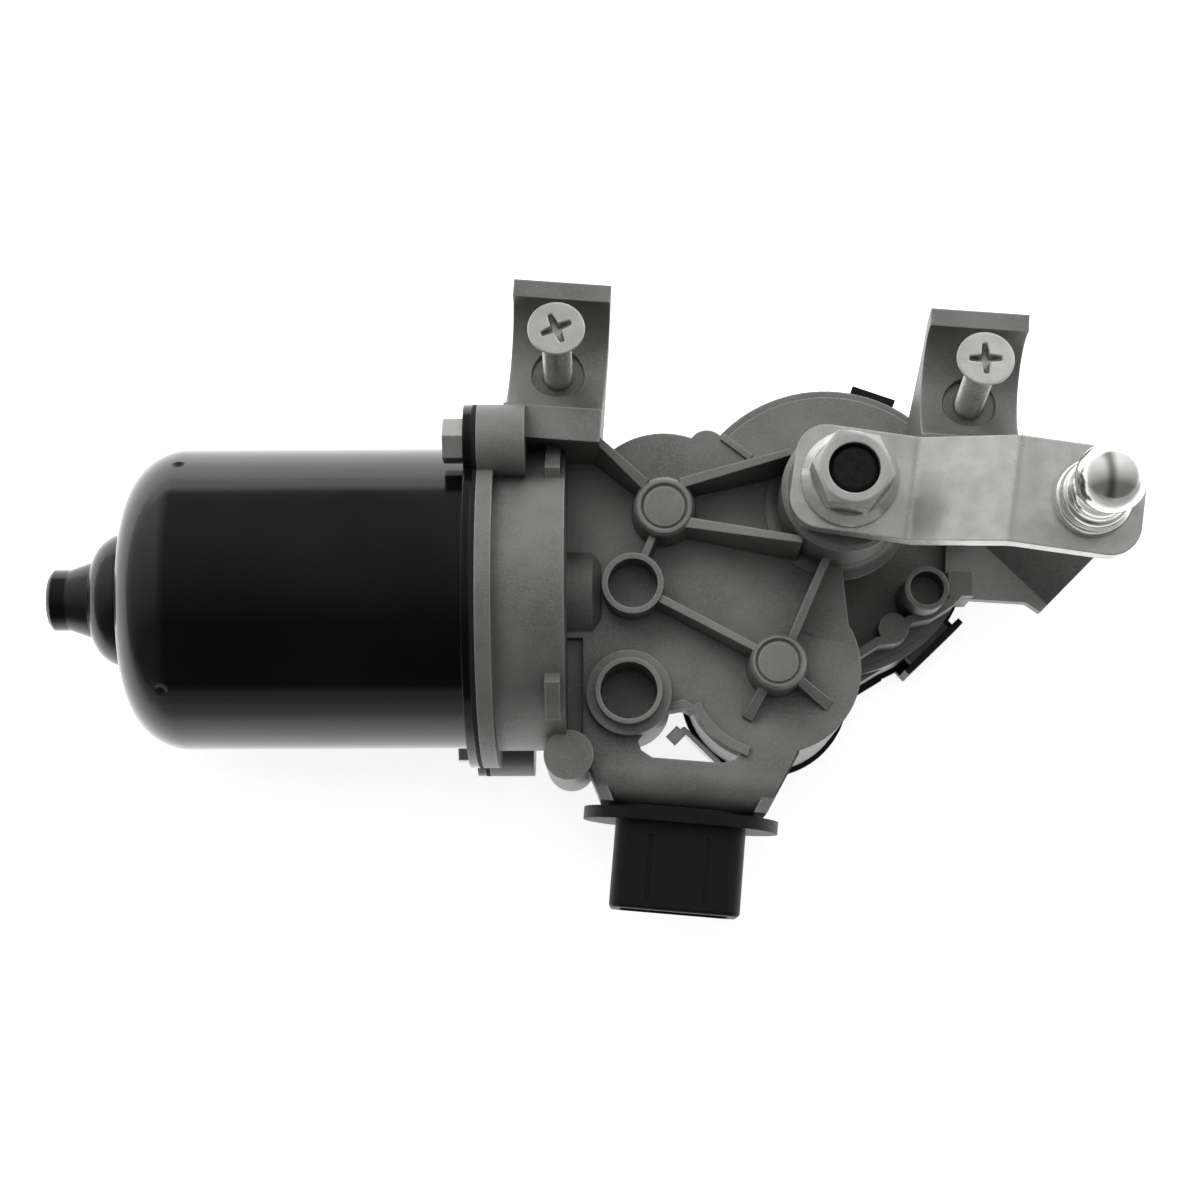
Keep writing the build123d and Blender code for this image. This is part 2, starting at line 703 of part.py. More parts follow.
def gear_housing():
    """Die casting that holds the gear train, the front bearing, the plug and the linkage tube."""
    solid = case_shell() - case_hollow() - gear_chamber() + case_details()
    solid += cyl_z(cup_b[0], cup_b[1], case_front_z + 3, web_z + 4.0, cup_b_step_r)
    for outer, hole in cup_shapes():
        solid = solid + outer - hole
    solid -= drum_cuts()
    solid += cyl_x(bearing_rear_x, drum_end_x - 1, bearing_seat_r)
    solid -= cyl_x(bearing_rear_x - 1, bearing_front_x, bearing_outer_r)
    solid = solid - motor_end_cuts() - idler_cuts() - shaft_cuts() - connector_opening()
    for y, z in bolt_places:
        solid -= cyl_x(joint_x - 1, joint_x + 8.0, bolt_r, y, z)
    for place in saddle_places:
        solid -= screw_cuts(place)
    solid -= gear_chamber()
    for frame in snap_frames():
        solid += snap_wedge(*frame)
    return solid


def rear_cover():
    solid = prism(case_outline(1.0), 0, cover_t)
    for x, y in idler_places:
        solid += cyl_z(x, y, 0, gear_z - side_play, idler_pin_r + 3.0)
        solid -= cyl_z(x, y, pin_seat_z, gear_z, idler_pin_r)
    for centre, radius, angle, span in snap_frames():
        x, y = polar(centre, radius, angle)
        place = Pos(x, y, 0) * Rot(0, 0, angle)
        outer = snap_gap + snap_strap_t
        half = span / 2
        loop = place * block(-1.0, outer, -half, half, 0, cover_t)
        strap = place * block(snap_gap, outer, -half, half, 0, case_z + 8.4)
        hole = place * block(snap_gap - 1, outer + 1, 2.3 - half, half - 2.3, case_z + 2.2, case_z + 6.4)
        solid += loop + (strap - hole)
    return solid


def cover_gasket():
    outer = case_outline(0.0)
    inner = offset(case_outline(0.0), -case_wall + 0.4)
    return prism(outer - inner, cover_t, case_z)


def can_flange(x0, x1):
    plate = cyl_x(x0, x1, flange_r)
    for y, z in bolt_places:
        plate += cyl_x(x0, x1, ear_r, y, z)
    return plate


def motor_can():
    """Drawn steel can with a round closed end and a stepped tail for the rear bearing."""
    x0, x1 = can_end_x, can_back_x + 0.2
    dome_x = x0 - tail_dome_l
    neck_x = dome_x - tail_neck_l
    mid = math.sqrt(0.5)
    outer = Polyline((neck_x - tail_cap_l, 0), (neck_x - tail_cap_l, tail_cap_r - 0.8),
                     (neck_x - tail_cap_l + 0.8, tail_cap_r), (neck_x, tail_cap_r), (dome_x, tail_neck_r))
    dome_span = tail_dome_r - tail_neck_r
    outer += ThreePointArc((dome_x, tail_neck_r),
                           (x0 - tail_dome_l * mid, tail_neck_r + dome_span * mid), (x0, tail_dome_r))
    outer += Line((x0, tail_dome_r), (x0, can_r - can_corner_r))
    outer += ThreePointArc((x0, can_r - can_corner_r),
                           (x0 + can_corner_r * (1 - mid), can_r - can_corner_r * (1 - mid)),
                           (x0 + can_corner_r, can_r))
    outer += Polyline((x0 + can_corner_r, can_r), (x1, can_r), (x1, 0), (neck_x - tail_cap_l, 0))
    shell = Pos(0, motor_y, motor_z) * revolve(make_face(outer), Axis.X, 360)
    shell += can_flange(can_back_x, can_face_x)
    inner_x = x0 + can_wall
    inner_corner = can_corner_r - can_wall
    cavity = turned_x([
        (neck_x - tail_cap_l + can_wall, 0), (neck_x - tail_cap_l + can_wall, tail_cap_r - can_wall),
        (neck_x + 0.8, tail_cap_r - can_wall), (dome_x + 1.4, tail_neck_r - can_wall),
        (inner_x, tail_dome_r - can_wall), (inner_x, can_inner_r - inner_corner),
        (inner_x + 0.3 * inner_corner, can_inner_r - 0.3 * inner_corner),
        (inner_x + inner_corner, can_inner_r), (can_face_x + 1, can_inner_r), (can_face_x + 1, 0)])
    shell -= cavity
    for y, z in bolt_places:
        shell -= cyl_x(can_back_x - 1, can_face_x + 1, bolt_r + bolt_play, y, z)
    for x, angle in dimple_places:
        y, z = polar((motor_y, motor_z), can_r + dimple_r - dimple_depth, angle)
        shell -= Pos(x, y, z) * Sphere(dimple_r)
    return shell


def can_gasket():
    plate = can_flange(can_face_x, joint_x) - cyl_x(can_face_x - 1, joint_x + 1, drum_inner_r)
    for y, z in bolt_places:
        plate -= cyl_x(can_face_x - 1, joint_x + 1, bolt_r + bolt_play, y, z)
    return plate


def can_bolts():
    bolts = []
    for y, z in bolt_places:
        head = Pos(can_back_x - bolt_head_h, y, z) * Rot(0, 90, 0) * extrude(
            RegularPolygon(bolt_hex / 2, 6, major_radius=False), amount=bolt_head_h)
        bolts.append(head + cyl_x(can_back_x - 0.1, joint_x + 7.8, bolt_r - 0.01, y, z))
    return Compound(children=bolts)


def magnet_segment(angle, x0, x1, r_in, r_out, arc):
    """Arc-shaped block round the motor axis, centred on an angle from +Y."""
    half = math.radians(arc / 2)
    far = r_out * 3
    ring = ring_x(x0, x1, r_out, r_in)
    wedge = polygon([(0, 0), (far * math.cos(half), far * math.sin(half)), (far * 2, 0),
                     (far * math.cos(half), -far * math.sin(half))])
    wedge = Pos(x0, motor_y, motor_z) * Rot(angle, 0, 0) * extrude(Plane.YZ * wedge, amount=x1 - x0)
    return ring & wedge


def field_magnets():
    inner = armature_r + air_gap
    back = magnet_front_x - magnet_length
    return Compound(children=[
        magnet_segment(angle, back, magnet_front_x, inner, can_inner_r - 0.02, magnet_arc)
        for angle in (90, 270)
    ])


def magnet_springs():
    """Two U springs that spread the magnets against the can."""
    front = magnet_front_x - 6.0
    back = front - magnet_length + 14.0
    inner = armature_r + air_gap + 1.6
    arc = 180 - magnet_arc - 2.0
    springs = []
    for angle in (0, 180):
        web = magnet_segment(angle, back, front, can_inner_r - 1.2, can_inner_r - 0.02, arc)
        legs = magnet_segment(angle, back, front, inner, can_inner_r - 1.0, arc)
        legs -= magnet_segment(angle, back - 1, front + 1, inner - 1, can_inner_r, arc - 4.5)
        springs.append(web + legs)
    return Compound(children=springs)


def rear_ball_x():
    """Where the spherical bush touches the cone inside the can's tail."""
    x0 = can_end_x + can_wall
    r0 = tail_dome_r - can_wall
    x1 = can_end_x - tail_dome_l + 1.4
    r1 = tail_neck_r - can_wall
    length = math.hypot(x0 - x1, r0 - r1)
    return x0 + ((rear_ball_r + 0.03) * length - r0 * (x0 - x1)) / (r0 - r1)


def rear_bearing():
    """Spherical bush: a barrel with flat ends, bored for the shaft."""
    x = rear_ball_x()
    end_r = math.sqrt(rear_ball_r ** 2 - rear_ball_half ** 2)
    bore_r = bearing_bore_r + run_fit
    x0, x1 = x - rear_ball_half, x + rear_ball_half
    outline = Polyline((x1, end_r), (x1, bore_r), (x0, bore_r), (x0, end_r))
    outline += ThreePointArc((x0, end_r), (x, rear_ball_r), (x1, end_r))
    return Pos(0, motor_y, motor_z) * revolve(make_face(outline), Axis.X, 360)


def rear_bearing_retainer():
    x = rear_ball_x()
    wall_x = can_end_x + can_wall
    grip_x = x + 4.4
    grip_r = math.sqrt(rear_ball_r ** 2 - 4.4 ** 2) + 0.1
    return turned_x([
        (wall_x, tail_dome_r + 3.6), (wall_x + 0.8, tail_dome_r + 3.6), (wall_x + 0.8, tail_dome_r - 0.5),
        (grip_x + 0.8, grip_r), (grip_x, grip_r), (wall_x, tail_dome_r - 0.9)])


def bearing_groove(play):
    place = Pos(bearing_front_x - bearing_w / 2, motor_y, motor_z) * Rot(0, 90, 0)
    return place * Torus(bearing_race_r, bearing_ball_d / 2 + play)


def bearing_outer_ring():
    ring = ring_x(bearing_rear_x, bearing_front_x, bearing_outer_r - 0.01, bearing_race_r + 1.1)
    return ring - bearing_groove(0.04)


def bearing_inner_ring():
    ring = ring_x(bearing_rear_x, bearing_front_x, bearing_race_r - 1.1, bearing_bore_r)
    return ring - bearing_groove(0.06)


def bearing_balls_group():
    x = bearing_front_x - bearing_w / 2
    balls = []
    for k in range(bearing_balls):
        y, z = polar((motor_y, motor_z), bearing_race_r, 360.0 * k / bearing_balls)
        balls.append(Pos(x, y, z) * Sphere(bearing_ball_d / 2))
    return Compound(children=balls)


def bearing_retainer():
    return ring_x(bearing_rear_x - 0.8, bearing_rear_x, bearing_seat_r - 0.4, bearing_outer_r - 1.9)


def thrust_pad():
    start = worm_shaft_end_x + thrust_ball_r + 0.6
    return cyl_x(start + 0.1, worm_shaft_end_x + 3.2, thrust_ball_r * 2 - 0.02)


def brush_plate():
    x0, x1 = brush_plate_x, brush_plate_x + brush_plate_t
    return ring_x(x0, x1, drum_inner_r - 0.1, commutator_r + 2.2)


def motor_frame(angle):
    """Frame on the motor axis, turned so that its +Y points at an angle from the object's +Y."""
    return Pos(0, motor_y, motor_z) * Rot(angle, 0, 0)


def brush_parts():
    """Brass boxes on the brush plate, with a carbon brush and a spring in each."""
    holders, brushes, springs = [], [], []
    x1 = brush_plate_x
    x0 = x1 - 7.6
    mid = (x0 + x1) / 2
    start, end = commutator_r + 2.4, drum_inner_r - 1.2
    tip = commutator_r + 0.1
    room = end - 0.6 - tip
    back = tip + room * brush_share
    length = room * (1 - brush_share)
    holder = block(x0, x1, start, end, -3.8, 3.8)
    holder -= block(x0 + 0.6, x1 - 0.6, start - 1, end - 0.6, -3.1, 3.1)
    brush = block(x0 + 0.7, x1 - 0.7, tip - 1.5, back, -3.0, 3.0)
    brush -= Rot(0, 90, 0) * Pos(0, 0, mid) * Cylinder(tip, 20)
    spring = Cylinder(2.4, length - 0.1) - Cylinder(1.6, length + 1)
    spring = Rot(-90, 0, 0) * Pos(mid, 0, back + length / 2) * spring
    for angle in brush_angles:
        holders.append(motor_frame(angle) * holder)
        brushes.append(motor_frame(angle) * brush)
        springs.append(motor_frame(angle) * spring)
    return Compound(children=holders), Compound(children=brushes), Compound(children=springs)


def choke_coils():
    r = 3.2
    coil = Pos(brush_plate_x - r, drum_inner_r - 8.2, 0) * Cylinder(r, 13)
    return Compound(children=[motor_frame(angle) * coil for angle in (65, 155)])


def capacitor():
    end = drum_inner_r - 6.7
    return motor_frame(250) * block(brush_plate_x - 4.0, brush_plate_x, end - 6.0, end, -4.5, 4.5)


def thermal_switch():
    end = drum_inner_r - 3.2
    return motor_frame(290) * block(brush_plate_x - 4.6, brush_plate_x, end - 9.0, end, -5.5, 5.5)


def shaft_bushes():
    bushes = [ring_z(0, 0, z, z + bush_length, bush_r - 0.01, shaft_r + run_fit)
              for z in (lower_bush_z, upper_bush_z)]
    return Compound(children=bushes)


def shaft_seal():
    z0 = upper_bush_z + bush_length
    return ring_z(0, 0, z0 + 0.1, tower_top_z - 0.4, bush_r + 1.1, shaft_r + 0.3)


def idler_pins():
    return Compound(children=[
        cyl_z(x, y, pin_seat_z, boss_top_z - pin_cap, idler_pin_r) for x, y in idler_places
    ])


def ground_clip():
    """Bent strip with a flat tab that bonds the connector's earth pin to the housing."""
    steps = ((12.6, 4.3), (8.4, 8.8), (0.6, 16.4), (-0.7, 15.3))
    points = [(plug_x + dx, plug_y + dy) for dx, dy in steps]
    solid = None
    for start, end in zip(points, points[1:]):
        piece = bar(start, end, 1.0, plug_z - 2.0, plug_z + 4.0)
        solid = piece if solid is None else solid + piece
    tab = Pos(points[-1][0] - 0.4, points[-1][1] - 0.2, plug_z + 3.6) * Rot(0, 0, 45) * Box(3.2, 2.6, 0.8)
    return solid + tab


def plug_frame():
    return Pos(plug_x, plug_y, plug_z) * Rot(0, 0, plug_turn)


def plug_section(width, height, radius):
    return Plane.XZ * RectangleRounded(width, height, radius)


def connector_housing():
    """Black plug housing: oval flange, deep socket outwards and a neck through the bracket."""
    face_y = -seal_t
    flange_plan = Plane.XZ * SlotOverall(plug_flange_w, plug_flange_h)
    flange = extrude(Pos(0, face_y, 0) * flange_plan, amount=plug_flange_t)
    body = extrude(Pos(0, face_y - plug_flange_t, 0) * plug_section(plug_w, plug_h, plug_corner_r),
                   amount=plug_length)
    tip_edges = body.faces().sort_by(Axis.Y)[0].edges()
    body = fillet(tip_edges, 0.8)
    neck = block(-plug_neck_w / 2, plug_neck_w / 2, face_y - 0.1, bracket_wall + 1.5,
                 -plug_neck_h / 2, plug_neck_h / 2)
    end_y = face_y - plug_flange_t - plug_length
    socket = extrude(Pos(0, end_y + plug_socket_depth, 0) * plug_section(
        plug_w - 2 * plug_wall, plug_h - 2 * plug_wall, plug_corner_r - 1.2), amount=plug_socket_depth + 1)
    solid = flange + body + neck - socket
    groove_z = plug_h / 2 - plug_groove_depth
    for x in (-plug_groove_x, plug_groove_x):
        solid -= block(x - 0.4, x + 0.4, end_y + 2, end_y + 15, groove_z, plug_h / 2 + 1)
    return plug_frame() * solid


def connector_seal():
    ring = SlotOverall(plug_flange_w - 10, plug_flange_h - 5)
    ring -= Rectangle(plug_neck_w + 0.4, plug_neck_h + 0.4)
    return plug_frame() * extrude(Plane.XZ * ring, amount=seal_t)


def connector_terminals():
    """Blades that stand in the socket."""
    root_y = -seal_t - plug_flange_t - plug_length + plug_socket_depth
    step = (plug_w - 2 * plug_wall - 3) / terminal_count
    blades = []
    for k in range(terminal_count):
        x = (k - (terminal_count - 1) / 2) * step
        blades.append(plug_frame() * block(x - 1.1, x + 1.1, root_y - 9.5, root_y, -0.4, 0.4))
    return Compound(children=blades)


def tube_screws():
    """Countersunk screws standing in the saddles at their working height."""
    screws = []
    for place in saddle_places:
        frame = saddle_frame(place) * Rot(-saddle_tilt, 0, 0)
        cone = turned_z([(0, -insert_length - 4.0), (screw_r - 0.8, -insert_length - 4.0),
                         (screw_r - 0.05, -insert_length - 3.0),
                         (screw_r - 0.05, screw_grip - screw_head_h), (screw_head_r, screw_grip - 0.5),
                         (screw_head_r, screw_grip), (0, screw_grip)])
        for turn in (0, 90):
            slot = Pos(0, 0, screw_grip) * Rot(0, 0, turn + 20) * Box(6.0, 1.2, 3.0)
            cone -= slot
        screws.append(frame * cone)
    return Compound(children=screws)


def screw_inserts():
    inserts = []
    for place in saddle_places:
        frame = saddle_frame(place) * Rot(-saddle_tilt, 0, 0)
        inserts.append(frame * ring_z(0, 0, -insert_length, -0.5, insert_r - 0.01, screw_r))
    return Compound(children=inserts)


def park_contacts():
    """Spring fingers on the cover that read the park disc."""
    fingers = []
    for k in range(3):
        y = 6.0 + 4.5 * k
        foot = block(-9.0, -5.0, y - 1.0, y + 1.0, cover_t, cover_t + 0.4)
        touch_z = gear_z - park_disc_t - 0.5
        arm = polygon([(-6.0, cover_t), (-5.0, cover_t), (5.0, touch_z - 0.4), (5.0, touch_z),
                       (4.6, touch_z)])
        fingers.append(foot + Pos(0, y + 1.0, 0) * extrude(Plane.XZ * arm, amount=2.0))
    return Compound(children=fingers)


def output_shaft():
    return turned_z([
        (0, gear_z - 0.6), (shaft_r - 0.5, gear_z - 0.6), (shaft_r, gear_z), (shaft_r, clip_z - 0.02),
        (shaft_r - clip_depth, clip_z - 0.02), (shaft_r - clip_depth, clip_z + clip_t + 0.02),
        (shaft_r, clip_z + clip_t + 0.02), (shaft_r - 0.4, crank_z - 0.2),
        (thread_r + 0.1, crank_z + crank_t), (thread_r, crank_z + crank_t),
        (thread_r, shaft_end_z - 1.0), (thread_r - 1.0, shaft_end_z), (0, shaft_end_z)])


def output_gear():
    """Moulded gear with a rim, a hub and six spokes over a thin web."""
    rim_r, hub_r = output_root_r - gear_rim_wall, shaft_r + gear_hub_wall
    solid = prism(gear_outline(output_teeth, spur_module, -spur_shift, spur_play, 0), gear_z, gear_top_z)
    solid -= ring_z(0, 0, gear_z + 3.0, gear_top_z + 1, rim_r, hub_r)
    for k in range(6):
        spoke = block(hub_r - 1.0, rim_r + 0.5, -1.0, 1.0, gear_z + 1, gear_top_z - 1)
        solid += Rot(0, 0, 60 * k) * spoke
    return solid - cyl_z(0, 0, gear_z - 1, gear_top_z + 1, shaft_r)


def park_disc():
    """Copper disc under the gear, with a slot where the park contact opens."""
    disc_r = output_root_r - gear_rim_wall - 1.5
    z0 = gear_z - park_disc_t
    sector = polygon([(0, 0), polar((0, 0), disc_r * 2, 20.0), polar((0, 0), disc_r * 2, -20.0)])
    slot = ring_z(0, 0, z0 - 1, gear_z + 1, disc_r - 3.0, disc_r - 8.0) & prism(sector, z0 - 1, gear_z + 1)
    return ring_z(0, 0, z0, gear_z, disc_r, shaft_r + 0.6) - slot


def thrust_washer():
    return ring_z(0, 0, gear_top_z + 0.05, gear_top_z + 0.65, bush_r - 0.6, shaft_r + 0.05)


def retaining_clip():
    return ring_z(0, 0, clip_z, clip_z + clip_t, shaft_r + 2.4, shaft_r - clip_depth)


def crank_arm():
    """Joggled steel arm, bent up from the nut end to the ball end."""
    slope = math.atan2(crank_rise, crank_bend_end - crank_bend_start)
    back = crank_t * math.tan(slope / 2)
    x0, x1 = -crank_end_margin, crank_length + crank_ball_margin
    side = polygon([
        (x0, crank_z), (crank_bend_start, crank_z), (crank_bend_end, crank_ball_z), (x1, crank_ball_z),
        (x1, crank_ball_z + crank_t), (crank_bend_end - back, crank_ball_z + crank_t),
        (crank_bend_start - back, crank_z + crank_t), (x0, crank_z + crank_t)])
    inner = [v for v in side.vertices() if x0 + 1 < v.X < x1 - 1]
    side = fillet(inner, crank_bend_r)
    bent = extrude(Plane.XZ * side, amount=crank_width, both=True)
    plan = Pos((x0 + x1) / 2, 0) * RectangleRounded(x1 - x0, crank_width, crank_corner_r)
    arm = bent & prism(plan, crank_z - 1, crank_ball_z + crank_t + 1)
    arm -= cyl_z(0, 0, crank_z - 1, crank_z + crank_t + 1, shaft_r - 0.3)
    arm -= cyl_z(crank_length, 0, crank_ball_z - 1, crank_ball_z + crank_t + 1, 4.5)
    return Rot(0, 0, crank_angle) * arm


def crank_nut():
    z0 = crank_z + crank_t
    z1 = z0 + nut_h
    flange = turned_z([(0, z0), (nut_flange_r, z0), (nut_flange_r, z0 + 1.0),
                       (nut_hex / 2 + 0.8, z0 + 3.0), (0, z0 + 3.0)])
    hexagon = prism(RegularPolygon(nut_hex / 2, 6, major_radius=False), z0, z1)
    cone = turned_z([(0, z0), (nut_hex, z0), (nut_hex, z1 - 3.6), (nut_hex / 2 - 0.5, z1), (0, z1)])
    solid = flange + (hexagon & cone) - cyl_z(0, 0, z0 - 1, z1 + 1, thread_r + 0.02)
    return Rot(0, 0, crank_angle + nut_turn) * solid


def ball_stud():
    """Riveted stud: a collar on the arm, a step, a bead under the neck, and the ball."""
    z0 = crank_ball_z
    z1 = z0 + crank_t
    neck_z = ball_z - math.sqrt(ball_r ** 2 - stud_neck_r ** 2)
    post = turned_z([(0, z0 - 1.2), (5.4, z0 - 1.2), (5.4, z0), (4.48, z0), (4.48, z1),
                     (stud_collar_r - 0.3, z1), (stud_collar_r, z1 + 0.5), (stud_collar_r - 0.3, z1 + 2.6),
                     (stud_step_r, z1 + 3.2), (stud_step_r, z1 + 5.4), (stud_bead_r, z1 + 6.4),
                     (stud_bead_r, z1 + 8.6), (stud_neck_r, z1 + 10.2), (stud_neck_r, neck_z + 0.3),
                     (0, neck_z + 0.3)])
    ball = Pos(0, 0, ball_z) * Sphere(ball_r)
    ball -= block(-9, 9, -9, 9, ball_z + ball_r - 0.5, ball_z + ball_r + 2)
    x, y = polar((0, 0), crank_length, crank_angle)
    return Pos(x, y, 0) * (post + ball)


def idler_gear(index):
    x, y = idler_places[index]
    wheel_phase, pinion_phase = idler_phases(index)
    lead_angle = math.atan2(worm_module, 2 * worm_pitch_r)
    twist = math.degrees(math.tan(lead_angle) * wheel_face / 2 / wheel_r)
    twist = twist if index == 0 else -twist
    wheel = gear_outline(wheel_teeth, worm_module, 0, worm_play, wheel_phase, 1.2, 1.0)
    top_z = wheel_z + wheel_face
    faces = [Pos(0, 0, z) * Rot(0, 0, turn) * wheel for z, turn in ((wheel_z, -twist), (top_z, twist))]
    solid = loft(faces, ruled=True)
    pinion = gear_outline(pinion_teeth, spur_module, spur_shift, spur_play, pinion_phase)
    solid += prism(pinion, gear_z - pinion_overlap / 2, gear_top_z + pinion_overlap / 2)
    solid += cyl_z(0, 0, gear_top_z, wheel_z + 0.5, idler_hub_r)
    solid -= cyl_z(0, 0, gear_z - 2, top_z + 1, idler_pin_r + run_fit)
    return Pos(x, y, 0) * solid


def worm_thread(index):
    """Helical ridge of one worm, right-handed for the first idler and left-handed for the second."""
    root = worm_root_r - 0.3
    flank = math.tan(math.radians(20))
    base = worm_pitch / 2 + 2 * flank * (worm_pitch_r - root) - 2 * worm_play
    tip = worm_pitch / 2 - 2 * flank * (worm_tip_r - worm_pitch_r) - 2 * worm_play
    helix = Helix(worm_pitch, worm_length, root, lefthand=index == 1)
    section = polygon([(root, -base / 2), (worm_tip_r, -tip / 2), (worm_tip_r, tip / 2), (root, base / 2)])
    section = Plane(origin=(0, 0, 0), x_dir=(1, 0, 0), z_dir=(0, -1, 0)) * section
    return sweep(section, path=helix, is_frenet=True)


def worm_solid(index):
    """One worm, placed so that a crest faces its idler at rest."""
    thread = worm_thread(index)
    mid = worm_length / 2
    clip = Pos(0, 0, mid) * Cylinder(worm_tip_r + 1, worm_length - 2.4)
    thread = thread & clip
    turns = mid / worm_pitch
    hand = 1 if index == 0 else -1
    # The ridge reaches mid length at this angle, and is turned from there to face +Y or -Y
    mid_angle = hand * 360.0 * turns
    goal = 0.0 if index == 0 else 180.0
    thread = Rot(0, 0, goal - mid_angle) * Pos(0, 0, -mid) * thread
    upright = Location(Plane(origin=(worm_xs[index], motor_y, motor_z), x_dir=(0, 1, 0), z_dir=(1, 0, 0)))
    return upright * thread


def armature_shaft():
    solid = cyl_x(tail_end_x + 3.4, bearing_front_x + 2.0, bearing_bore_r)
    solid += cyl_x(bearing_front_x + 1, worm_shaft_end_x, worm_root_r)
    for index in (0, 1):
        solid += worm_solid(index)
    ball = Pos(worm_shaft_end_x + 0.6, motor_y, motor_z) * Sphere(thrust_ball_r)
    return solid + ball


def lamination_stack():
    stack = cyl_x(stack_front_x - stack_length, stack_front_x, armature_r)
    for k in range(slot_count):
        frame = motor_frame(360.0 * k / slot_count)
        x0, x1 = stack_front_x - stack_length - 1, stack_front_x + 1
        stack -= frame * block(x0, x1, armature_r - 2, armature_r + 1, -1.2, 1.2)
        slot = polygon([(12.0, -1.2), (armature_r - 1.6, -3.6), (armature_r - 1.6, 3.6), (12.0, 1.2)])
        stack -= frame * Pos(x0, 0, 0) * extrude(Plane.YZ * slot, amount=x1 - x0)
    return stack - cyl_x(-200, 0, bearing_bore_r)


def windings():
    """Copper in the slots, joined by the end turns at both faces of the stack."""
    x0, x1 = stack_front_x - stack_length, stack_front_x
    r_out = armature_r - 2.0
    coil = None
    for k in range(slot_count):
        frame = motor_frame(360.0 * k / slot_count)
        slot = polygon([(12.6, -1.0), (r_out, -3.2), (r_out, 3.2), (12.6, 1.0)])
        fill = frame * Pos(x0 - 1, 0, 0) * extrude(Plane.YZ * slot, amount=x1 - x0 + 2)
        coil = fill if coil is None else coil + fill
    for start, way in ((x0 - 0.3, -1), (x1 + 0.3, 1)):
        far = start + way * (coil_overhang - 0.3)
        coil += turned_x([(start, 7.0), (start, r_out), (start + way * 4.5, r_out),
                          (far - way * 1.0, r_out - 4.0), (far, 10.0), (far, 7.0)])
    return coil


def commutator():
    x1 = commutator_front_x
    x0 = x1 - commutator_length
    solid = cyl_x(x0, x1, commutator_r) + cyl_x(x0 - 0.1, x0 + 2.0, commutator_r + 1.6)
    for k in range(commutator_bars):
        frame = motor_frame(360.0 * (k + 0.5) / commutator_bars)
        solid -= frame * block(x0 - 1, x1 + 1, commutator_r - 1.0, commutator_r + 3, -0.3, 0.3)
    return solid - cyl_x(x0 - 1, x1 + 1, bearing_bore_r)


def build_all():
    holders, brushes, brush_springs = brush_parts()
    return {
        "gear_housing": gear_housing(),
        "rear_cover": rear_cover(),
        "cover_gasket": cover_gasket(),
        "motor_can": motor_can(),
        "can_gasket": can_gasket(),
        "can_bolts": can_bolts(),
        "field_magnets": field_magnets(),
        "magnet_springs": magnet_springs(),
        "rear_bearing": rear_bearing(),
        "rear_bearing_retainer": rear_bearing_retainer(),
        "front_bearing_outer_ring": bearing_outer_ring(),
        "front_bearing_balls": bearing_balls_group(),
        "bearing_retainer": bearing_retainer(),
        "thrust_pad": thrust_pad(),
        "brush_plate": brush_plate(),
        "brush_holders": holders,
        "carbon_brushes": brushes,
        "brush_springs": brush_springs,
        "choke_coils": choke_coils(),
        "capacitor": capacitor(),
        "thermal_switch": thermal_switch(),
        "shaft_bushes": shaft_bushes(),
        "shaft_seal": shaft_seal(),
        "idler_pins": idler_pins(),
        "ground_clip": ground_clip(),
        "connector_housing": connector_housing(),
        "connector_seal": connector_seal(),
        "connector_terminals": connector_terminals(),
        "tube_screws": tube_screws(),
        "screw_inserts": screw_inserts(),
        "park_contacts": park_contacts(),
        "output_shaft": output_shaft(),
        "output_gear": output_gear(),
        "park_disc": park_disc(),
        "thrust_washer": thrust_washer(),
        "retaining_clip": retaining_clip(),
        "crank_arm": crank_arm(),
        "crank_nut": crank_nut(),
        "ball_stud": ball_stud(),
        "idler_gear_a": idler_gear(0),
        "idler_gear_b": idler_gear(1),
        "armature_shaft": armature_shaft(),
        "lamination_stack": lamination_stack(),
        "windings": windings(),
        "commutator": commutator(),
        "front_bearing_inner_ring": bearing_inner_ring(),
    }


os.makedirs("parts", exist_ok=True)
for node, shape in build_all().items():
    export_step(shape, "parts/" + node + ".step")
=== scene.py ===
import bpy
import numpy as np
from bpy.props import FloatProperty, FloatVectorProperty, IntProperty, PointerProperty
from mathutils import Matrix


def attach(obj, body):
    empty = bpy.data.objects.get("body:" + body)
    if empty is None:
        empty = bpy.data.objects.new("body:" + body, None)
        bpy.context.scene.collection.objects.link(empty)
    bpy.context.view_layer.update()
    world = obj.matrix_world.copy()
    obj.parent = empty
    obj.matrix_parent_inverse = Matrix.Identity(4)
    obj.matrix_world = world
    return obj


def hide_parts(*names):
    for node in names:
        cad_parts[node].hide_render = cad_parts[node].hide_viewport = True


bl_info = {
    "name": "Wiper Motor Finish",
    "version": (1, 0, 0),
    "blender": (4, 5, 0),
    "location": "View3D > Sidebar > Wiper Motor",
    "description": "Finishes, fasteners, camera and stage for a front windscreen wiper motor",
    "category": "Object",
}

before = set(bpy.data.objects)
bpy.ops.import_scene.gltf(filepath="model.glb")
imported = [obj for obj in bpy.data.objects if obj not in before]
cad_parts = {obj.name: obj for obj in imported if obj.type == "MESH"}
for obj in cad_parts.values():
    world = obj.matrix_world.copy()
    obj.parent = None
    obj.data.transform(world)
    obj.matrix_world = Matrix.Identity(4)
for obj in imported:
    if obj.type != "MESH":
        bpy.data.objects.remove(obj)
bpy.context.view_layer.update()

MM = 0.001

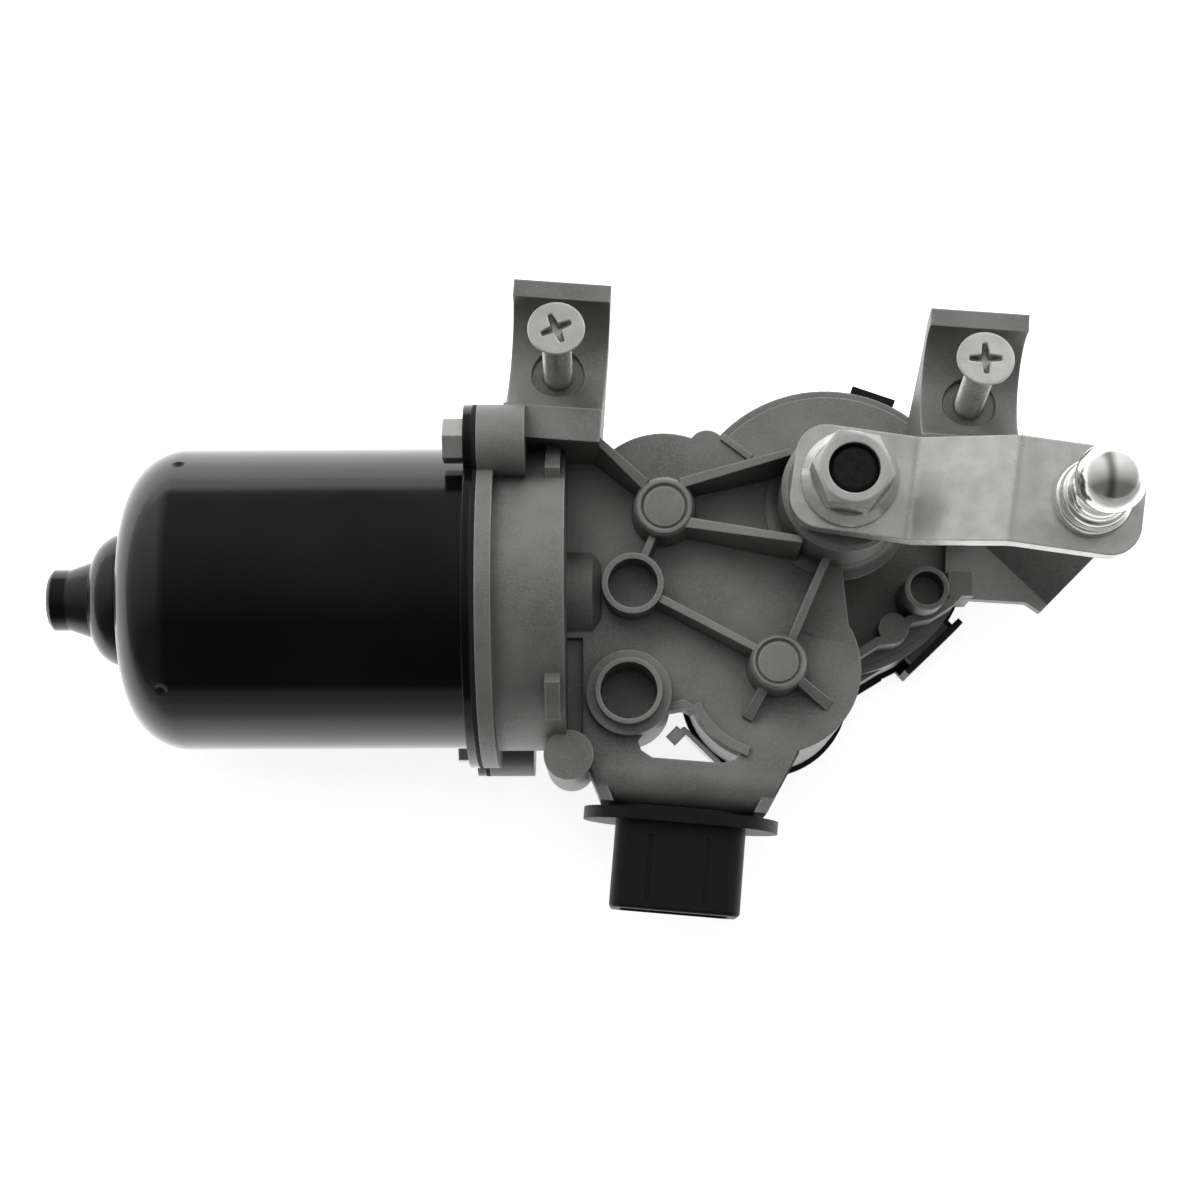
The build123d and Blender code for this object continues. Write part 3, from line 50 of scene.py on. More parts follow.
# Camera at the photograph's angle: its own right, up and back directions, and its place in metres
CAMERA_RIGHT = (0.99992, -0.00296, -0.01205)
CAMERA_UP = (0.00497, 0.98535, 0.17046)
CAMERA_BACK = (0.01137, -0.17050, 0.98529)
CAMERA_PLACE = (-0.04338, -0.09802, 0.50117)

# Places on the part, in millimetres
CAN_SIDE_SEAT = (-57.0, 26.0)
GEAR_SIDE_SEAT = (26.2, 19.4)
SEAT_Z = 50.0
SCREW_TIP_Z = -14.0
STUD_AXIS = (44.0985, -6.6694)
# Each disc's axis and radius
IDLER_DISCS = ((-35.593, -1.5, 4.25), (-13.173, -33.1, 4.15))

# How both screws lean in their saddles
SCREW_TURN = np.radians(-4.5)
SCREW_LEAN = np.radians(-9.5)

# Profiles of the ball stud, as radius and height in millimetres
STUD_NECK_R = 4.4
STUD_COLLARS = ((STUD_NECK_R, 90.2), (5.5, 88.6), (5.5, 86.4), (6.6, 85.4), (6.6, 83.2), (7.2, 82.6),
                (7.5, 81.6), (7.5, 80.5), (7.2, 80.02), (4.6, 80.02))
STUD_RIVET = ((4.48, 80.0), (4.48, 76.0), (5.4, 75.98), (5.4, 74.8), (0.0, 74.8))

# Edge radii that the light catches, in millimetres
METAL_EDGE = 0.5
POLISHED_EDGE = 0.25
SMALL_EDGE = 0.3

# Small finishes: name, two tones, metallic, roughness range, cell size and relief in millimetres, nodes.
# The real grain of most is well under 0.3 mm, so the cells are drawn coarser, as large as they need to show.
DARK_FINISHES = (
    # Injection-moulded glass-filled nylon: dull black with a soft sheen
    ("moulded_black_nylon", "050505", "0a0a0a", 0.0, (0.44, 0.54), 0.7, 0.015,
     ("rear_cover", "connector_housing", "thermal_switch")),
    # Compression-moulded rubber: matt charcoal, almost no sheen
    ("moulded_nitrile_rubber", "121212", "191919", 0.0, (0.65, 0.8), 0.9, 0.02,
     ("cover_gasket", "can_gasket", "connector_seal", "shaft_seal")),
    # Phosphated and oiled steel: dark satin grey
    ("phosphated_steel", "262626", "323232", 0.9, (0.4, 0.5), 1.0, 0.01,
     ("output_shaft", "retaining_clip", "thrust_washer", "magnet_springs", "brush_springs",
      "rear_bearing_retainer", "bearing_retainer")),
)
BUSH_FINISH = (
    # Turned steel: satin mid grey
    ("turned_steel_bush", "6f6f6e", "858583", 0.8, (0.4, 0.5), 0.6, 0.01, ("screw_inserts",)),
)
INNER_FINISHES = (
    # Ground and hardened steel: pale and close to a mirror
    ("ground_steel", "b4b4b2", "c4c4c2", 1.0, (0.2, 0.3), 0.6, 0.003,
     ("armature_shaft", "idler_pins", "front_bearing_outer_ring", "front_bearing_inner_ring",
      "front_bearing_balls")),
    # Stamped electrical sheet with its oxide film: bluish satin grey
    ("silicon_steel_sheet", "6b6c70", "7c7d80", 0.9, (0.4, 0.5), 0.5, 0.02, ("lamination_stack",)),
    # Drawn copper under clear enamel: glossy reddish brown
    ("enamelled_copper", "a4552f", "b86a3e", 0.9, (0.25, 0.35), 0.6, 0.05,
     ("windings", "commutator", "park_disc", "park_contacts", "choke_coils")),
    # Stamped brass with tin plating: pale and softly bright
    ("tinned_brass", "b9b7ae", "c8c6bd", 1.0, (0.25, 0.35), 0.8, 0.004, ("connector_terminals",)),
    # Pressed and sintered bronze: dull brown gold with open pores
    ("sintered_bronze", "8c6a3c", "9f7b49", 0.9, (0.45, 0.6), 0.4, 0.02,
     ("rear_bearing", "shaft_bushes", "brush_holders")),
    # Fired ferrite: charcoal and matt, like stoneware
    ("fired_ferrite", "2b2b2c", "38383a", 0.1, (0.6, 0.75), 0.8, 0.03, ("field_magnets",)),
    # Pressed carbon: black with a faint sheen
    ("pressed_carbon", "1b1b1c", "29292a", 0.1, (0.5, 0.65), 0.5, 0.02, ("carbon_brushes",)),
    # Pressed paper laminate: half-matt brown
    ("phenolic_laminate", "5b3a1e", "6d4827", 0.0, (0.4, 0.55), 1.2, 0.01, ("brush_plate", "capacitor")),
    # Injection-moulded acetal: milky white and waxy
    ("moulded_acetal", "e2ded3", "d6d2c6", 0.0, (0.3, 0.42), 1.5, 0.01,
     ("output_gear", "idler_gear_a", "idler_gear_b", "thrust_pad")),
)


def linear(code):
    """Linear colour of an sRGB hex value."""
    values = np.array([int(code[k:k + 2], 16) for k in (0, 2, 4)]) / 255
    bright = ((values + 0.055) / 1.055) ** 2.4
    return tuple(float(v) for v in np.where(values <= 0.04045, values / 12.92, bright))


def to_mm(length):
    """A setting's length in millimetres, rounded because a setting holds single precision only."""
    return round(length / MM, 4)


# Nodes

def add_node(tree, kind, inputs=None, **settings):
    """Adds a node with its settings. Each input is a plain value or the output of another node."""
    node = tree.nodes.new(kind)
    for name, value in settings.items():
        setattr(node, name, value)
    for key, value in (inputs or {}).items():
        socket = node.inputs[key]
        if isinstance(value, bpy.types.NodeSocket):
            tree.links.new(value, socket)
        elif socket.type == "RGBA":
            socket.default_value = (*value, 1.0)
        else:
            socket.default_value = value
    return node


def new_material(name, **shader):
    """A material with one Principled shader. Constants go straight to its sockets."""
    material = bpy.data.materials.new(name)
    material.use_nodes = True
    tree = material.node_tree
    principled = tree.nodes["Principled BSDF"]
    for key, value in shader.items():
        socket = principled.inputs[key.replace("_", " ")]
        socket.default_value = (*value, 1.0) if isinstance(value, tuple) else value
    return material, tree, principled


def grain(tree, size_mm, detail, roughness):
    """Noise on Object coordinates, whose cells are about size_mm across."""
    place = add_node(tree, "ShaderNodeTexCoord")
    return add_node(tree, "ShaderNodeTexNoise", {
        "Vector": place.outputs["Object"], "Scale": 1 / (size_mm * MM), "Detail": detail,
        "Roughness": roughness}).outputs["Fac"]


def tone_nodes(tree, value, low, high, dark, light):
    """Two linked results of one noise value: a number from low to high, and a colour from dark to light."""
    part = add_node(tree, "ShaderNodeMapRange", {"Value": value, "From Min": 0.3, "From Max": 0.7})
    number = add_node(tree, "ShaderNodeMapRange", {
        "Value": part.outputs["Result"], "To Min": low, "To Max": high})
    colour = add_node(tree, "ShaderNodeMix", {0: part.outputs["Result"], 6: dark, 7: light}, data_type="RGBA")
    return number.outputs["Result"], colour.outputs[2]


def relief(tree, height, depth_mm, radius_mm):
    """Bump of a real depth, on edges rounded by a radius so that they catch the light."""
    rounded = add_node(tree, "ShaderNodeBevel", {"Radius": radius_mm * MM}, samples=4)
    return add_node(tree, "ShaderNodeBump", {
        "Height": height, "Strength": 1.0, "Distance": depth_mm * MM,
        "Normal": rounded.outputs["Normal"]}).outputs["Normal"]


def worn_and_highlit_edges(tree, tone, bright, openness, radius_mm):
    """Brighter tone where the rounded normal turns away from the face's own, on edges in the open: partly wear,
    partly a painted highlight.
    """
    rounded = add_node(tree, "ShaderNodeBevel", {"Radius": radius_mm * MM}, samples=4)
    face = add_node(tree, "ShaderNodeNewGeometry")
    match = add_node(tree, "ShaderNodeVectorMath", {
        0: rounded.outputs["Normal"], 1: face.outputs["Normal"]}, operation="DOT_PRODUCT")
    edge = add_node(tree, "ShaderNodeMapRange", {
        "Value": match.outputs["Value"], "From Min": 0.97, "From Max": 0.8, "To Min": 0.0, "To Max": 0.7})
    clear = add_node(tree, "ShaderNodeMapRange", {"Value": openness, "From Min": 0.6, "From Max": 0.85})
    wear_and_highlight = add_node(tree, "ShaderNodeMath", {0: edge.outputs["Result"], 1: clear.outputs["Result"]},
                    operation="MULTIPLY")
    return add_node(tree, "ShaderNodeMix", {0: wear_and_highlight.outputs[0], 6: tone, 7: bright}, data_type="RGBA").outputs[2]


def painted_hollow_shade(tree, tone, openness, span, share, shade_colour):
    """Tone that goes towards a painted shade colour as openness falls through the span, to a share of the tone at
    its foot.
    """
    shade = add_node(tree, "ShaderNodeMapRange", {
        "Value": openness, "From Min": span[0], "From Max": span[1], "To Min": share, "To Max": 1.0})
    return add_node(tree, "ShaderNodeMix", {0: shade.outputs["Result"], 6: shade_colour, 7: tone},
                    data_type="RGBA").outputs[2]


def link_finish(tree, shader, tone, rough, normal):
    """Joins the three results of a finish to the shader."""
    for name, value in (("Base Color", tone), ("Roughness", rough), ("Normal", normal)):
        tree.links.new(value, shader.inputs[name])


# Materials

def die_cast_aluminium(settings):
    """Die-cast aluminium, shot-blasted: matt grey, with fine pits, faint flow marks, painted shade in its hollows
    and lighter edges, partly worn and partly a painted highlight.
    """
    material, tree, shader = new_material("die_cast_aluminium", Metallic=settings.casting_metal)
    # Shot leaves pits of about 0.2 mm. They are drawn at 0.45 mm, because finer ones don't show.
    fine = grain(tree, 0.45, 3.0, 0.65)
    flow = grain(tree, 14.0, 3.0, 0.55)
    skin = grain(tree, 1.0, 4.0, 0.7)
    dark, light = tuple(settings.casting_dark), tuple(settings.casting_light)
    rough, tone = tone_nodes(tree, flow, 0.4, 0.48, dark, light)
    pits, speckle = tone_nodes(tree, fine, 0.0, 0.6, dark, light)
    patch, mottle = tone_nodes(tree, skin, 0.0, 0.5, dark, light)
    tone = add_node(tree, "ShaderNodeMix", {0: patch, 6: tone, 7: mottle}, data_type="RGBA").outputs[2]
    tone = add_node(tree, "ShaderNodeMix", {0: pits, 6: tone, 7: speckle}, data_type="RGBA").outputs[2]
    # Painted shade gathers within a rib's height, about 9 mm, of its foot
    cover = add_node(tree, "ShaderNodeAmbientOcclusion", {"Color": (1.0, 1.0, 1.0), "Distance": 9 * MM},
                     samples=6, only_local=True)
    # Edges in the open turn lighter: partly wear, partly a painted highlight
    tone = worn_and_highlit_edges(tree, tone, linear("b0b0ae"), cover.outputs["AO"], 0.7)
    # The hollows take painted shade, close to black at their feet
    tone = painted_hollow_shade(tree, tone, cover.outputs["AO"], (0.25, 0.85), 1 - settings.hollow_shade,
                        (0.012, 0.012, 0.012))
    link_finish(tree, shader, tone, rough, relief(tree, fine, 0.1, METAL_EDGE))
    return material


def black_can_enamel(settings):
    """Black stoving enamel on drawn steel: deep gloss with a slight orange peel, 1.8 mm from dimple to dimple."""
    material, tree, shader = new_material("black_stoving_enamel", Metallic=0.0, IOR=1.5)
    peel = grain(tree, 1.8, 1.0, 0.4)
    cloud = grain(tree, 22.0, 2.0, 0.5)
    rough, tone = tone_nodes(tree, cloud, 0.1, 0.15, tuple(settings.enamel), linear("0a0a0a"))
    link_finish(tree, shader, tone, rough, relief(tree, peel, 0.003, METAL_EDGE))
    return material


def bright_zinc_steel(settings):
    """Zinc-plated pressed steel: bright and slightly clouded, with fine handling marks and painted shade in its
    corners.
    """
    material, tree, shader = new_material("bright_zinc_plated_steel", Metallic=0.72)
    cloud = grain(tree, 5.0, 3.0, 0.6)
    # The plating's own grain is too fine to see, so it is drawn at 0.35 mm
    fine = grain(tree, 0.35, 2.0, 0.5)
    rough, tone = tone_nodes(tree, cloud, 0.24, 0.33, tuple(settings.zinc), linear("b6b6b4"))
    # Painted shade goes only where hollows are this narrow: the screws' recesses and threads and the nut's inner
    # corners
    cover = add_node(tree, "ShaderNodeAmbientOcclusion", {"Color": (1.0, 1.0, 1.0), "Distance": 1.8 * MM},
                     samples=6, only_local=True)
    tone = painted_hollow_shade(tree, tone, cover.outputs["AO"], (0.3, 0.8), 0.2, (0.01, 0.01, 0.01))
    link_finish(tree, shader, tone, rough, relief(tree, fine, 0.006, METAL_EDGE))
    return material


def polished_steel(settings):
    """Polished and plated ball stud steel: near mirror."""
    material, tree, shader = new_material("polished_plated_steel", Metallic=1.0)
    cloud = grain(tree, 3.0, 2.0, 0.5)
    rough, tone = tone_nodes(tree, cloud, 0.13, 0.18, tuple(settings.stud), linear("dededc"))
    link_finish(tree, shader, tone, rough, relief(tree, cloud, 0.003, POLISHED_EDGE))
    return material


def plain_finish(name, base, other, metallic, rough_range, size_mm, depth_mm):
    """A finish for small or inner pieces: two near tones, a roughness range and a fine relief."""
    material, tree, shader = new_material(name, Metallic=metallic, Specular_IOR_Level=0.35)
    cells = grain(tree, size_mm, 2.0, 0.55)
    rough, tone = tone_nodes(tree, cells, *rough_range, linear(base), linear(other))
    link_finish(tree, shader, tone, rough, relief(tree, cells, depth_mm, SMALL_EDGE))
    return material


def dress(nodes, material):
    """Gives CAD nodes one material."""
    for name in nodes:
        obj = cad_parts[name]
        if not obj.material_slots:
            obj.data.materials.append(material)
        for place in obj.material_slots:
            place.material = material


def dress_rows(rows):
    """Gives the nodes at the end of each row the plain finish that the row describes."""
    for *finish, nodes in rows:
        dress(nodes, plain_finish(*finish))


# Surfaces

def turned_surface(radius, height, place):
    """Closed surface of rows and columns round an axis: its points in metres, its quads and its end triangles.

    Row i and column j give the point (r cos a, r sin a, h), with a = 2 pi j / columns and with r and h read
    from the two arrays, in millimetres. The first and last rows shrink to one point each, which closes both
    poles. Height falls from row to row, so each face turns outwards. The matrix puts the surface in its place.
    """
    rows, columns = radius.shape
    angle = 2 * np.pi * np.arange(columns) / columns
    ring = np.stack([radius * np.cos(angle), radius * np.sin(angle), height], axis=2)[1:-1].reshape(-1, 3)
    poles = np.array([[0.0, 0.0, height[0].mean()], [0.0, 0.0, height[-1].mean()]])
    points = np.vstack([ring, poles])
    row, column = np.meshgrid(np.arange(rows - 3), np.arange(columns), indexing="ij")
    step = (column + 1) % columns
    quads = np.stack([row * columns + column, (row + 1) * columns + column,
                      (row + 1) * columns + step, row * columns + step], axis=2).reshape(-1, 4)
    side = np.arange(columns)
    after = (side + 1) % columns
    last = (rows - 3) * columns
    top = np.stack([np.full(columns, len(ring)), side, after], axis=1)
    bottom = np.stack([np.full(columns, len(ring) + 1), last + after, last + side], axis=1)
    points = points @ np.array(place.to_3x3()).T + np.array(place.translation)
    return points * MM, quads, np.vstack([top, bottom])


def spread(profile, columns):
    """Radius and height arrays of a profile that is the same in every column."""
    return np.repeat(profile[:, :1], columns, axis=1), np.repeat(profile[:, 1:], columns, axis=1)


def rounded_profile(points, cuts):
    """Corner cutting: each pass puts points at 1/5 and 4/5 of every leg in place of the corners between."""
    line = np.array(points, float)
    for _ in range(cuts):
        legs = np.stack([0.8 * line[:-1] + 0.2 * line[1:], 0.2 * line[:-1] + 0.8 * line[1:]], axis=1)
        line = np.vstack([line[:1], legs.reshape(-1, 2), line[-1:]])
    return line


def add_piece(context, name, surfaces, material):
    """One smooth object at the origin. The points of its surfaces are counted on from one to the next."""
    faces, start = [], 0
    for points, quads, ends in surfaces:
        faces += (quads + start).tolist() + (ends + start).tolist()
        start += len(points)
    mesh = bpy.data.meshes.new(name)
    mesh.from_pydata(np.vstack([points for points, _, _ in surfaces]).tolist(), [], faces)
    mesh.polygons.foreach_set("use_smooth", np.ones(len(mesh.polygons), dtype=bool))
    mesh.materials.append(material)
    mesh.update()
    piece = bpy.data.objects.new(name, mesh)
    context.scene.collection.objects.link(piece)
    return piece


# Settings

class FinishSettings(bpy.types.PropertyGroup):
    """Colours of the visible finishes."""
    casting_dark: FloatVectorProperty(
        name="Casting dark", description="Darker tone of the die casting", subtype="COLOR",
        default=linear("656564"))
    casting_light: FloatVectorProperty(
        name="Casting light", description="Lighter tone of the die casting", subtype="COLOR",
        default=linear("8e8e8c"))
    enamel: FloatVectorProperty(
        name="Enamel", description="Stoving enamel of the motor can", subtype="COLOR",
        default=linear("040404"))
    zinc: FloatVectorProperty(
        name="Zinc", description="Zinc plating of the crank and fasteners", subtype="COLOR",
        default=linear("cbcbc8"))
    stud: FloatVectorProperty(
        name="Stud", description="Polished plating of the ball stud", subtype="COLOR",
        default=linear("efefec"))
    casting_metal: FloatProperty(
        name="Casting metal", description="Metallic share of the blasted casting", subtype="FACTOR",
        default=0.52, min=0.0, max=1.0)
    # Strength of the painted shade in the casting's hollows
    hollow_shade: FloatProperty(
        name="Hollow shade", description="How much darker the casting is in its hollows", subtype="FACTOR",
        default=0.4, min=0.0, max=1.0)


class ScrewSettings(bpy.types.PropertyGroup):
    """Sizes of the two countersunk screws in the saddles."""
    thread_radius: FloatProperty(
        name="Thread radius", description="Outer radius of the thread", unit="LENGTH", precision=5,
        default=2.95 * MM)
    pitch: FloatProperty(
        name="Pitch", description="Rise of the thread in one turn", unit="LENGTH", precision=5,
        default=1.0 * MM)
    thread_depth: FloatProperty(
        name="Thread depth", description="Depth of the thread", unit="LENGTH", precision=5,
        default=0.42 * MM)
    head_radius: FloatProperty(
        name="Head radius", description="Outer radius of the head", unit="LENGTH", precision=5,
        default=5.6 * MM)
    head_top: FloatProperty(
        name="Head top", description="Height of the head over the saddle's seat", unit="LENGTH", precision=5,
        default=22.0 * MM)
    recess_reach: FloatProperty(
        name="Recess reach", description="Reach of each wing of the cross recess", unit="LENGTH", precision=5,
        default=3.3 * MM)
    recess_depth: FloatProperty(
        name="Recess depth", description="Depth of the cross recess", unit="LENGTH", precision=5,
        default=2.2 * MM)
    can_side_turn: FloatProperty(
        name="Can side turn", description="Turn of the can side screw's recess", subtype="ANGLE",
        default=np.radians(28.0))
    gear_side_turn: FloatProperty(
        name="Gear side turn", description="Turn of the gear side screw's recess", subtype="ANGLE",
        default=np.radians(4.0))
    columns: IntProperty(name="Columns", description="Points round each screw", default=128, min=32)


class StudSettings(bpy.types.PropertyGroup):
    """Sizes of the ball stud's ball."""
    ball_radius: FloatProperty(
        name="Ball radius", description="Radius of the ball", unit="LENGTH", precision=5, default=6.5 * MM)
    ball_height: FloatProperty(
        name="Ball height", description="Height of the ball's centre", unit="LENGTH", precision=5,
        default=97.5 * MM)
    columns: IntProperty(name="Columns", description="Points round the stud", default=144, min=32)


class DiscSettings(bpy.types.PropertyGroup):
    """Sizes of the shallow discs in the idler bosses."""
    top: FloatProperty(
        name="Top", description="Height of a disc's middle", unit="LENGTH", precision=5, default=51.08 * MM)
    foot: FloatProperty(
        name="Foot", description="Height of a disc's underside", unit="LENGTH", precision=5,
        default=50.72 * MM)
    crown: FloatProperty(
        name="Crown", description="How far the rim lies below the middle", unit="LENGTH", precision=5,
        default=0.05 * MM)
    columns: IntProperty(name="Columns", description="Points round each disc", default=64, min=32)


class StageSettings(bpy.types.PropertyGroup):
    """Floor, lamps and lens."""
    floor_size: FloatProperty(
        name="Floor size", description="Side of the square floor", unit="LENGTH", default=3.0)
    lens: FloatProperty(
        name="Lens", description="Focal length on a 36 mm sensor", unit="CAMERA", default=68.7)
    key_power: FloatProperty(
        name="Key lamp", description="Power of the soft lamp behind the object", unit="POWER", default=6.4)
    key_size: FloatProperty(
        name="Key lamp size", description="Side of the soft lamp behind the object", unit="LENGTH",
        default=0.45)
    top_power: FloatProperty(
        name="Top lamp", description="Power of the soft lamp over the object", unit="POWER", default=1.3)
    top_size: FloatProperty(
        name="Top lamp size", description="Side of the soft lamp over the object", unit="LENGTH", default=0.3)
    floor_glow: FloatProperty(
        name="Floor glow", description="Whiteness that the lens sees in the floor", subtype="FACTOR",
        default=0.86, min=0.0, max=1.0)
    overhead: FloatProperty(
        name="Overhead", description="Strength of the tent above the object", subtype="FACTOR",
        default=0.32, min=0.0, max=1.0)


# Operators

class WIPER_OT_camera(bpy.types.Operator):
    """Place the camera at the photograph's viewing angle"""
    bl_idname = "wiper.camera"
    bl_label = "Camera"

    def execute(self, context):
        data = bpy.data.cameras.new("photo_camera")
        data.sensor_width = 36.0
        data.lens = context.scene.wiper_stage.lens
        data.clip_start, data.clip_end = 0.02, 20.0
        camera = bpy.data.objects.new("photo_camera", data)
        context.scene.collection.objects.link(camera)
        place = Matrix((CAMERA_RIGHT, CAMERA_UP, CAMERA_BACK)).transposed().to_4x4()
        place.translation = CAMERA_PLACE
        camera.matrix_world = place
        context.scene.camera = camera
        return {"FINISHED"}


class WIPER_OT_stage(bpy.types.Operator):
    """Build the white floor and the soft studio light"""
    bl_idname = "wiper.stage"
    bl_label = "Stage"

    def execute(self, context):
        stage = context.scene.wiper_stage
        self.add_floor(context, stage)
        self.light_world(context, stage.overhead)
        self.add_lamp(context, "key_lamp", (-0.34, 0.5, 0.76), (-0.58, -0.36, 0.0), stage.key_size,
                      stage.key_power)
        self.add_lamp(context, "top_lamp", (-0.06, 0.1, 0.95), (-0.14, 0.0, 0.0), stage.top_size,
                      stage.top_power)
        return {"FINISHED"}

    def add_floor(self, context, stage):
        """Floor just under the part, white for the lens. In reflections it fades towards the front."""
        half = stage.floor_size / 2
        mesh = bpy.data.meshes.new("floor")
        corners = [(-half, -half, 0), (half, -half, 0), (half, half, 0), (-half, half, 0)]
        mesh.from_pydata(corners, [], [(0, 1, 2, 3)])
        floor = bpy.data.objects.new("floor", mesh)
        context.scene.collection.objects.link(floor)
        floor.location.z = -0.4 * MM
        material, tree, shader = new_material("matt_white_floor", Roughness=0.9, Base_Color=linear("bdbdbd"),
                                              Emission_Color=(1.0, 1.0, 1.0))
        path = add_node(tree, "ShaderNodeLightPath")
        spot = add_node(tree, "ShaderNodeTexCoord")
        spot = add_node(tree, "ShaderNodeSeparateXYZ", {"Vector": spot.outputs["Object"]})
        front = add_node(tree, "ShaderNodeMapRange", {
            "Value": spot.outputs["Y"], "From Min": -0.22, "From Max": -0.06, "To Min": 0.15, "To Max": 1.2})
        mirrored = add_node(tree, "ShaderNodeMath", {
            0: path.outputs["Is Glossy Ray"], 1: front.outputs["Result"]}, operation="MULTIPLY")
        seen = add_node(tree, "ShaderNodeMath", {
            0: path.outputs["Is Camera Ray"], 1: stage.floor_glow}, operation="MULTIPLY")
        glow = add_node(tree, "ShaderNodeMath", {0: seen.outputs[0], 1: mirrored.outputs[0]}, operation="ADD")
        tree.links.new(glow.outputs[0], shader.inputs["Emission Strength"])
        mesh.materials.append(material)

    def light_world(self, context, overhead):
        """Light tent by direction, as a rim and an overhead part.

        The rim is a white band up to about ten degrees over the horizon, weaker in front and at the far left,
        and it counts in full only for reflections. The overhead part grows towards the back and is dimmer in
        a gap beside the middle, where the lens looks in. The lens itself sees plain white.
        """
        world = bpy.data.worlds.new("light_tent")
        world.use_nodes = True
        tree = world.node_tree
        background = tree.nodes["Background"]
        background.inputs["Color"].default_value = (1.0, 1.0, 1.0, 1.0)
        path = add_node(tree, "ShaderNodeLightPath")
        way = add_node(tree, "ShaderNodeTexCoord")
        parts = add_node(tree, "ShaderNodeSeparateXYZ", {"Vector": way.outputs["Generated"]})

        rim = add_node(tree, "ShaderNodeMapRange", {
            "Value": parts.outputs["Z"], "From Min": 0.1, "From Max": 0.18, "To Min": 1.2, "To Max": 0.0})
        front = add_node(tree, "ShaderNodeMapRange", {
            "Value": parts.outputs["Y"], "From Min": -0.3, "From Max": 0.3, "To Min": 0.25, "To Max": 1.0})
        left = add_node(tree, "ShaderNodeMapRange", {
            "Value": parts.outputs["X"], "From Min": -0.7, "From Max": -0.25, "To Min": 0.12, "To Max": 1.0})
        mirrored = add_node(tree, "ShaderNodeMath", {0: path.outputs["Is Glossy Ray"], 1: 0.3},
                            operation="MAXIMUM")
        rim = add_node(tree, "ShaderNodeMath", {0: rim.outputs["Result"], 1: front.outputs["Result"]},
                       operation="MULTIPLY")
        rim = add_node(tree, "ShaderNodeMath", {0: rim.outputs[0], 1: left.outputs["Result"]},
                       operation="MULTIPLY")
        rim = add_node(tree, "ShaderNodeMath", {0: rim.outputs[0], 1: mirrored.outputs[0]},
                       operation="MULTIPLY")

        back = add_node(tree, "ShaderNodeMapRange", {
            "Value": parts.outputs["Y"], "From Min": -0.45, "From Max": 0.75,
            "To Min": 0.3 * overhead, "To Max": 1.9 * overhead})
        gap = add_node(tree, "ShaderNodeMath", {0: parts.outputs["X"], 1: 0.15}, operation="ADD")
        gap = add_node(tree, "ShaderNodeMath", {0: gap.outputs[0]}, operation="ABSOLUTE")
        side = add_node(tree, "ShaderNodeMapRange", {
            "Value": gap.outputs[0], "From Min": 0.07, "From Max": 0.34, "To Min": 0.5, "To Max": 1.7})
        back = add_node(tree, "ShaderNodeMath", {0: back.outputs["Result"], 1: side.outputs["Result"]},
                        operation="MULTIPLY")

        strength = add_node(tree, "ShaderNodeMath", {0: rim.outputs[0], 1: back.outputs[0]}, operation="ADD")
        strength = add_node(tree, "ShaderNodeMath", {0: strength.outputs[0], 1: path.outputs["Is Camera Ray"]},
                            operation="MAXIMUM")
        tree.links.new(strength.outputs[0], background.inputs["Strength"])
        context.scene.world = world

    def add_lamp(self, context, name, place, turn, size, power):
        """Square soft lamp that no reflection shows."""
        data = bpy.data.lights.new(name, "AREA")
        data.shape = "SQUARE"
        data.size = size
        data.energy = power
        lamp = bpy.data.objects.new(name, data)
        context.scene.collection.objects.link(lamp)
        lamp.location = place
        lamp.rotation_euler = turn
        lamp.visible_glossy = False


class WIPER_OT_cast_parts(bpy.types.Operator):
    """Dress the gear housing in die-cast aluminium"""
    bl_idname = "wiper.cast_parts"
    bl_label = "Cast parts"

    def execute(self, context):
        dress(("gear_housing",), die_cast_aluminium(context.scene.wiper_finish))
        return {"FINISHED"}


class WIPER_OT_boss_discs(bpy.types.Operator):
    """Make the two shallow discs in the idler bosses"""
    bl_idname = "wiper.boss_discs"
    bl_label = "Boss discs"

    def execute(self, context):
        discs = context.scene.wiper_discs
        surfaces = [self.disc_surface(discs, *disc) for disc in IDLER_DISCS]
        piece = add_piece(context, "idler_boss_discs", surfaces, die_cast_aluminium(context.scene.wiper_finish))
        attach(piece, "housing")
        return {"FINISHED"}

    def disc_surface(self, discs, x, y, disc_r):
        """A slightly crowned disc: h = top - crown (r / R)^2."""
        run = np.linspace(0.0, 1.0, 12)
        foot = to_mm(discs.foot)
        face = np.stack([disc_r * run, to_mm(discs.top) - to_mm(discs.crown) * run ** 2], axis=1)
        profile = np.vstack([face, [(disc_r, foot), (0.0, foot)]])
        return turned_surface(*spread(profile, discs.columns), Matrix.Translation((x, y, 0.0)))


class WIPER_OT_motor_can(bpy.types.Operator):
    """Dress the motor can in black enamel"""
    bl_idname = "wiper.motor_can"
    bl_label = "Motor can"

    def execute(self, context):
        dress(("motor_can",), black_can_enamel(context.scene.wiper_finish))
        return {"FINISHED"}


class WIPER_OT_bright_parts(bpy.types.Operator):
    """Dress the crank, its nut, the earth clip, the can bolts and the screw inserts"""
    bl_idname = "wiper.bright_parts"
    bl_label = "Bright parts"

    def execute(self, context):
        zinc = bright_zinc_steel(context.scene.wiper_finish)
        dress(("crank_arm", "crank_nut", "ground_clip", "can_bolts"), zinc)
        dress_rows(BUSH_FINISH)
        return {"FINISHED"}


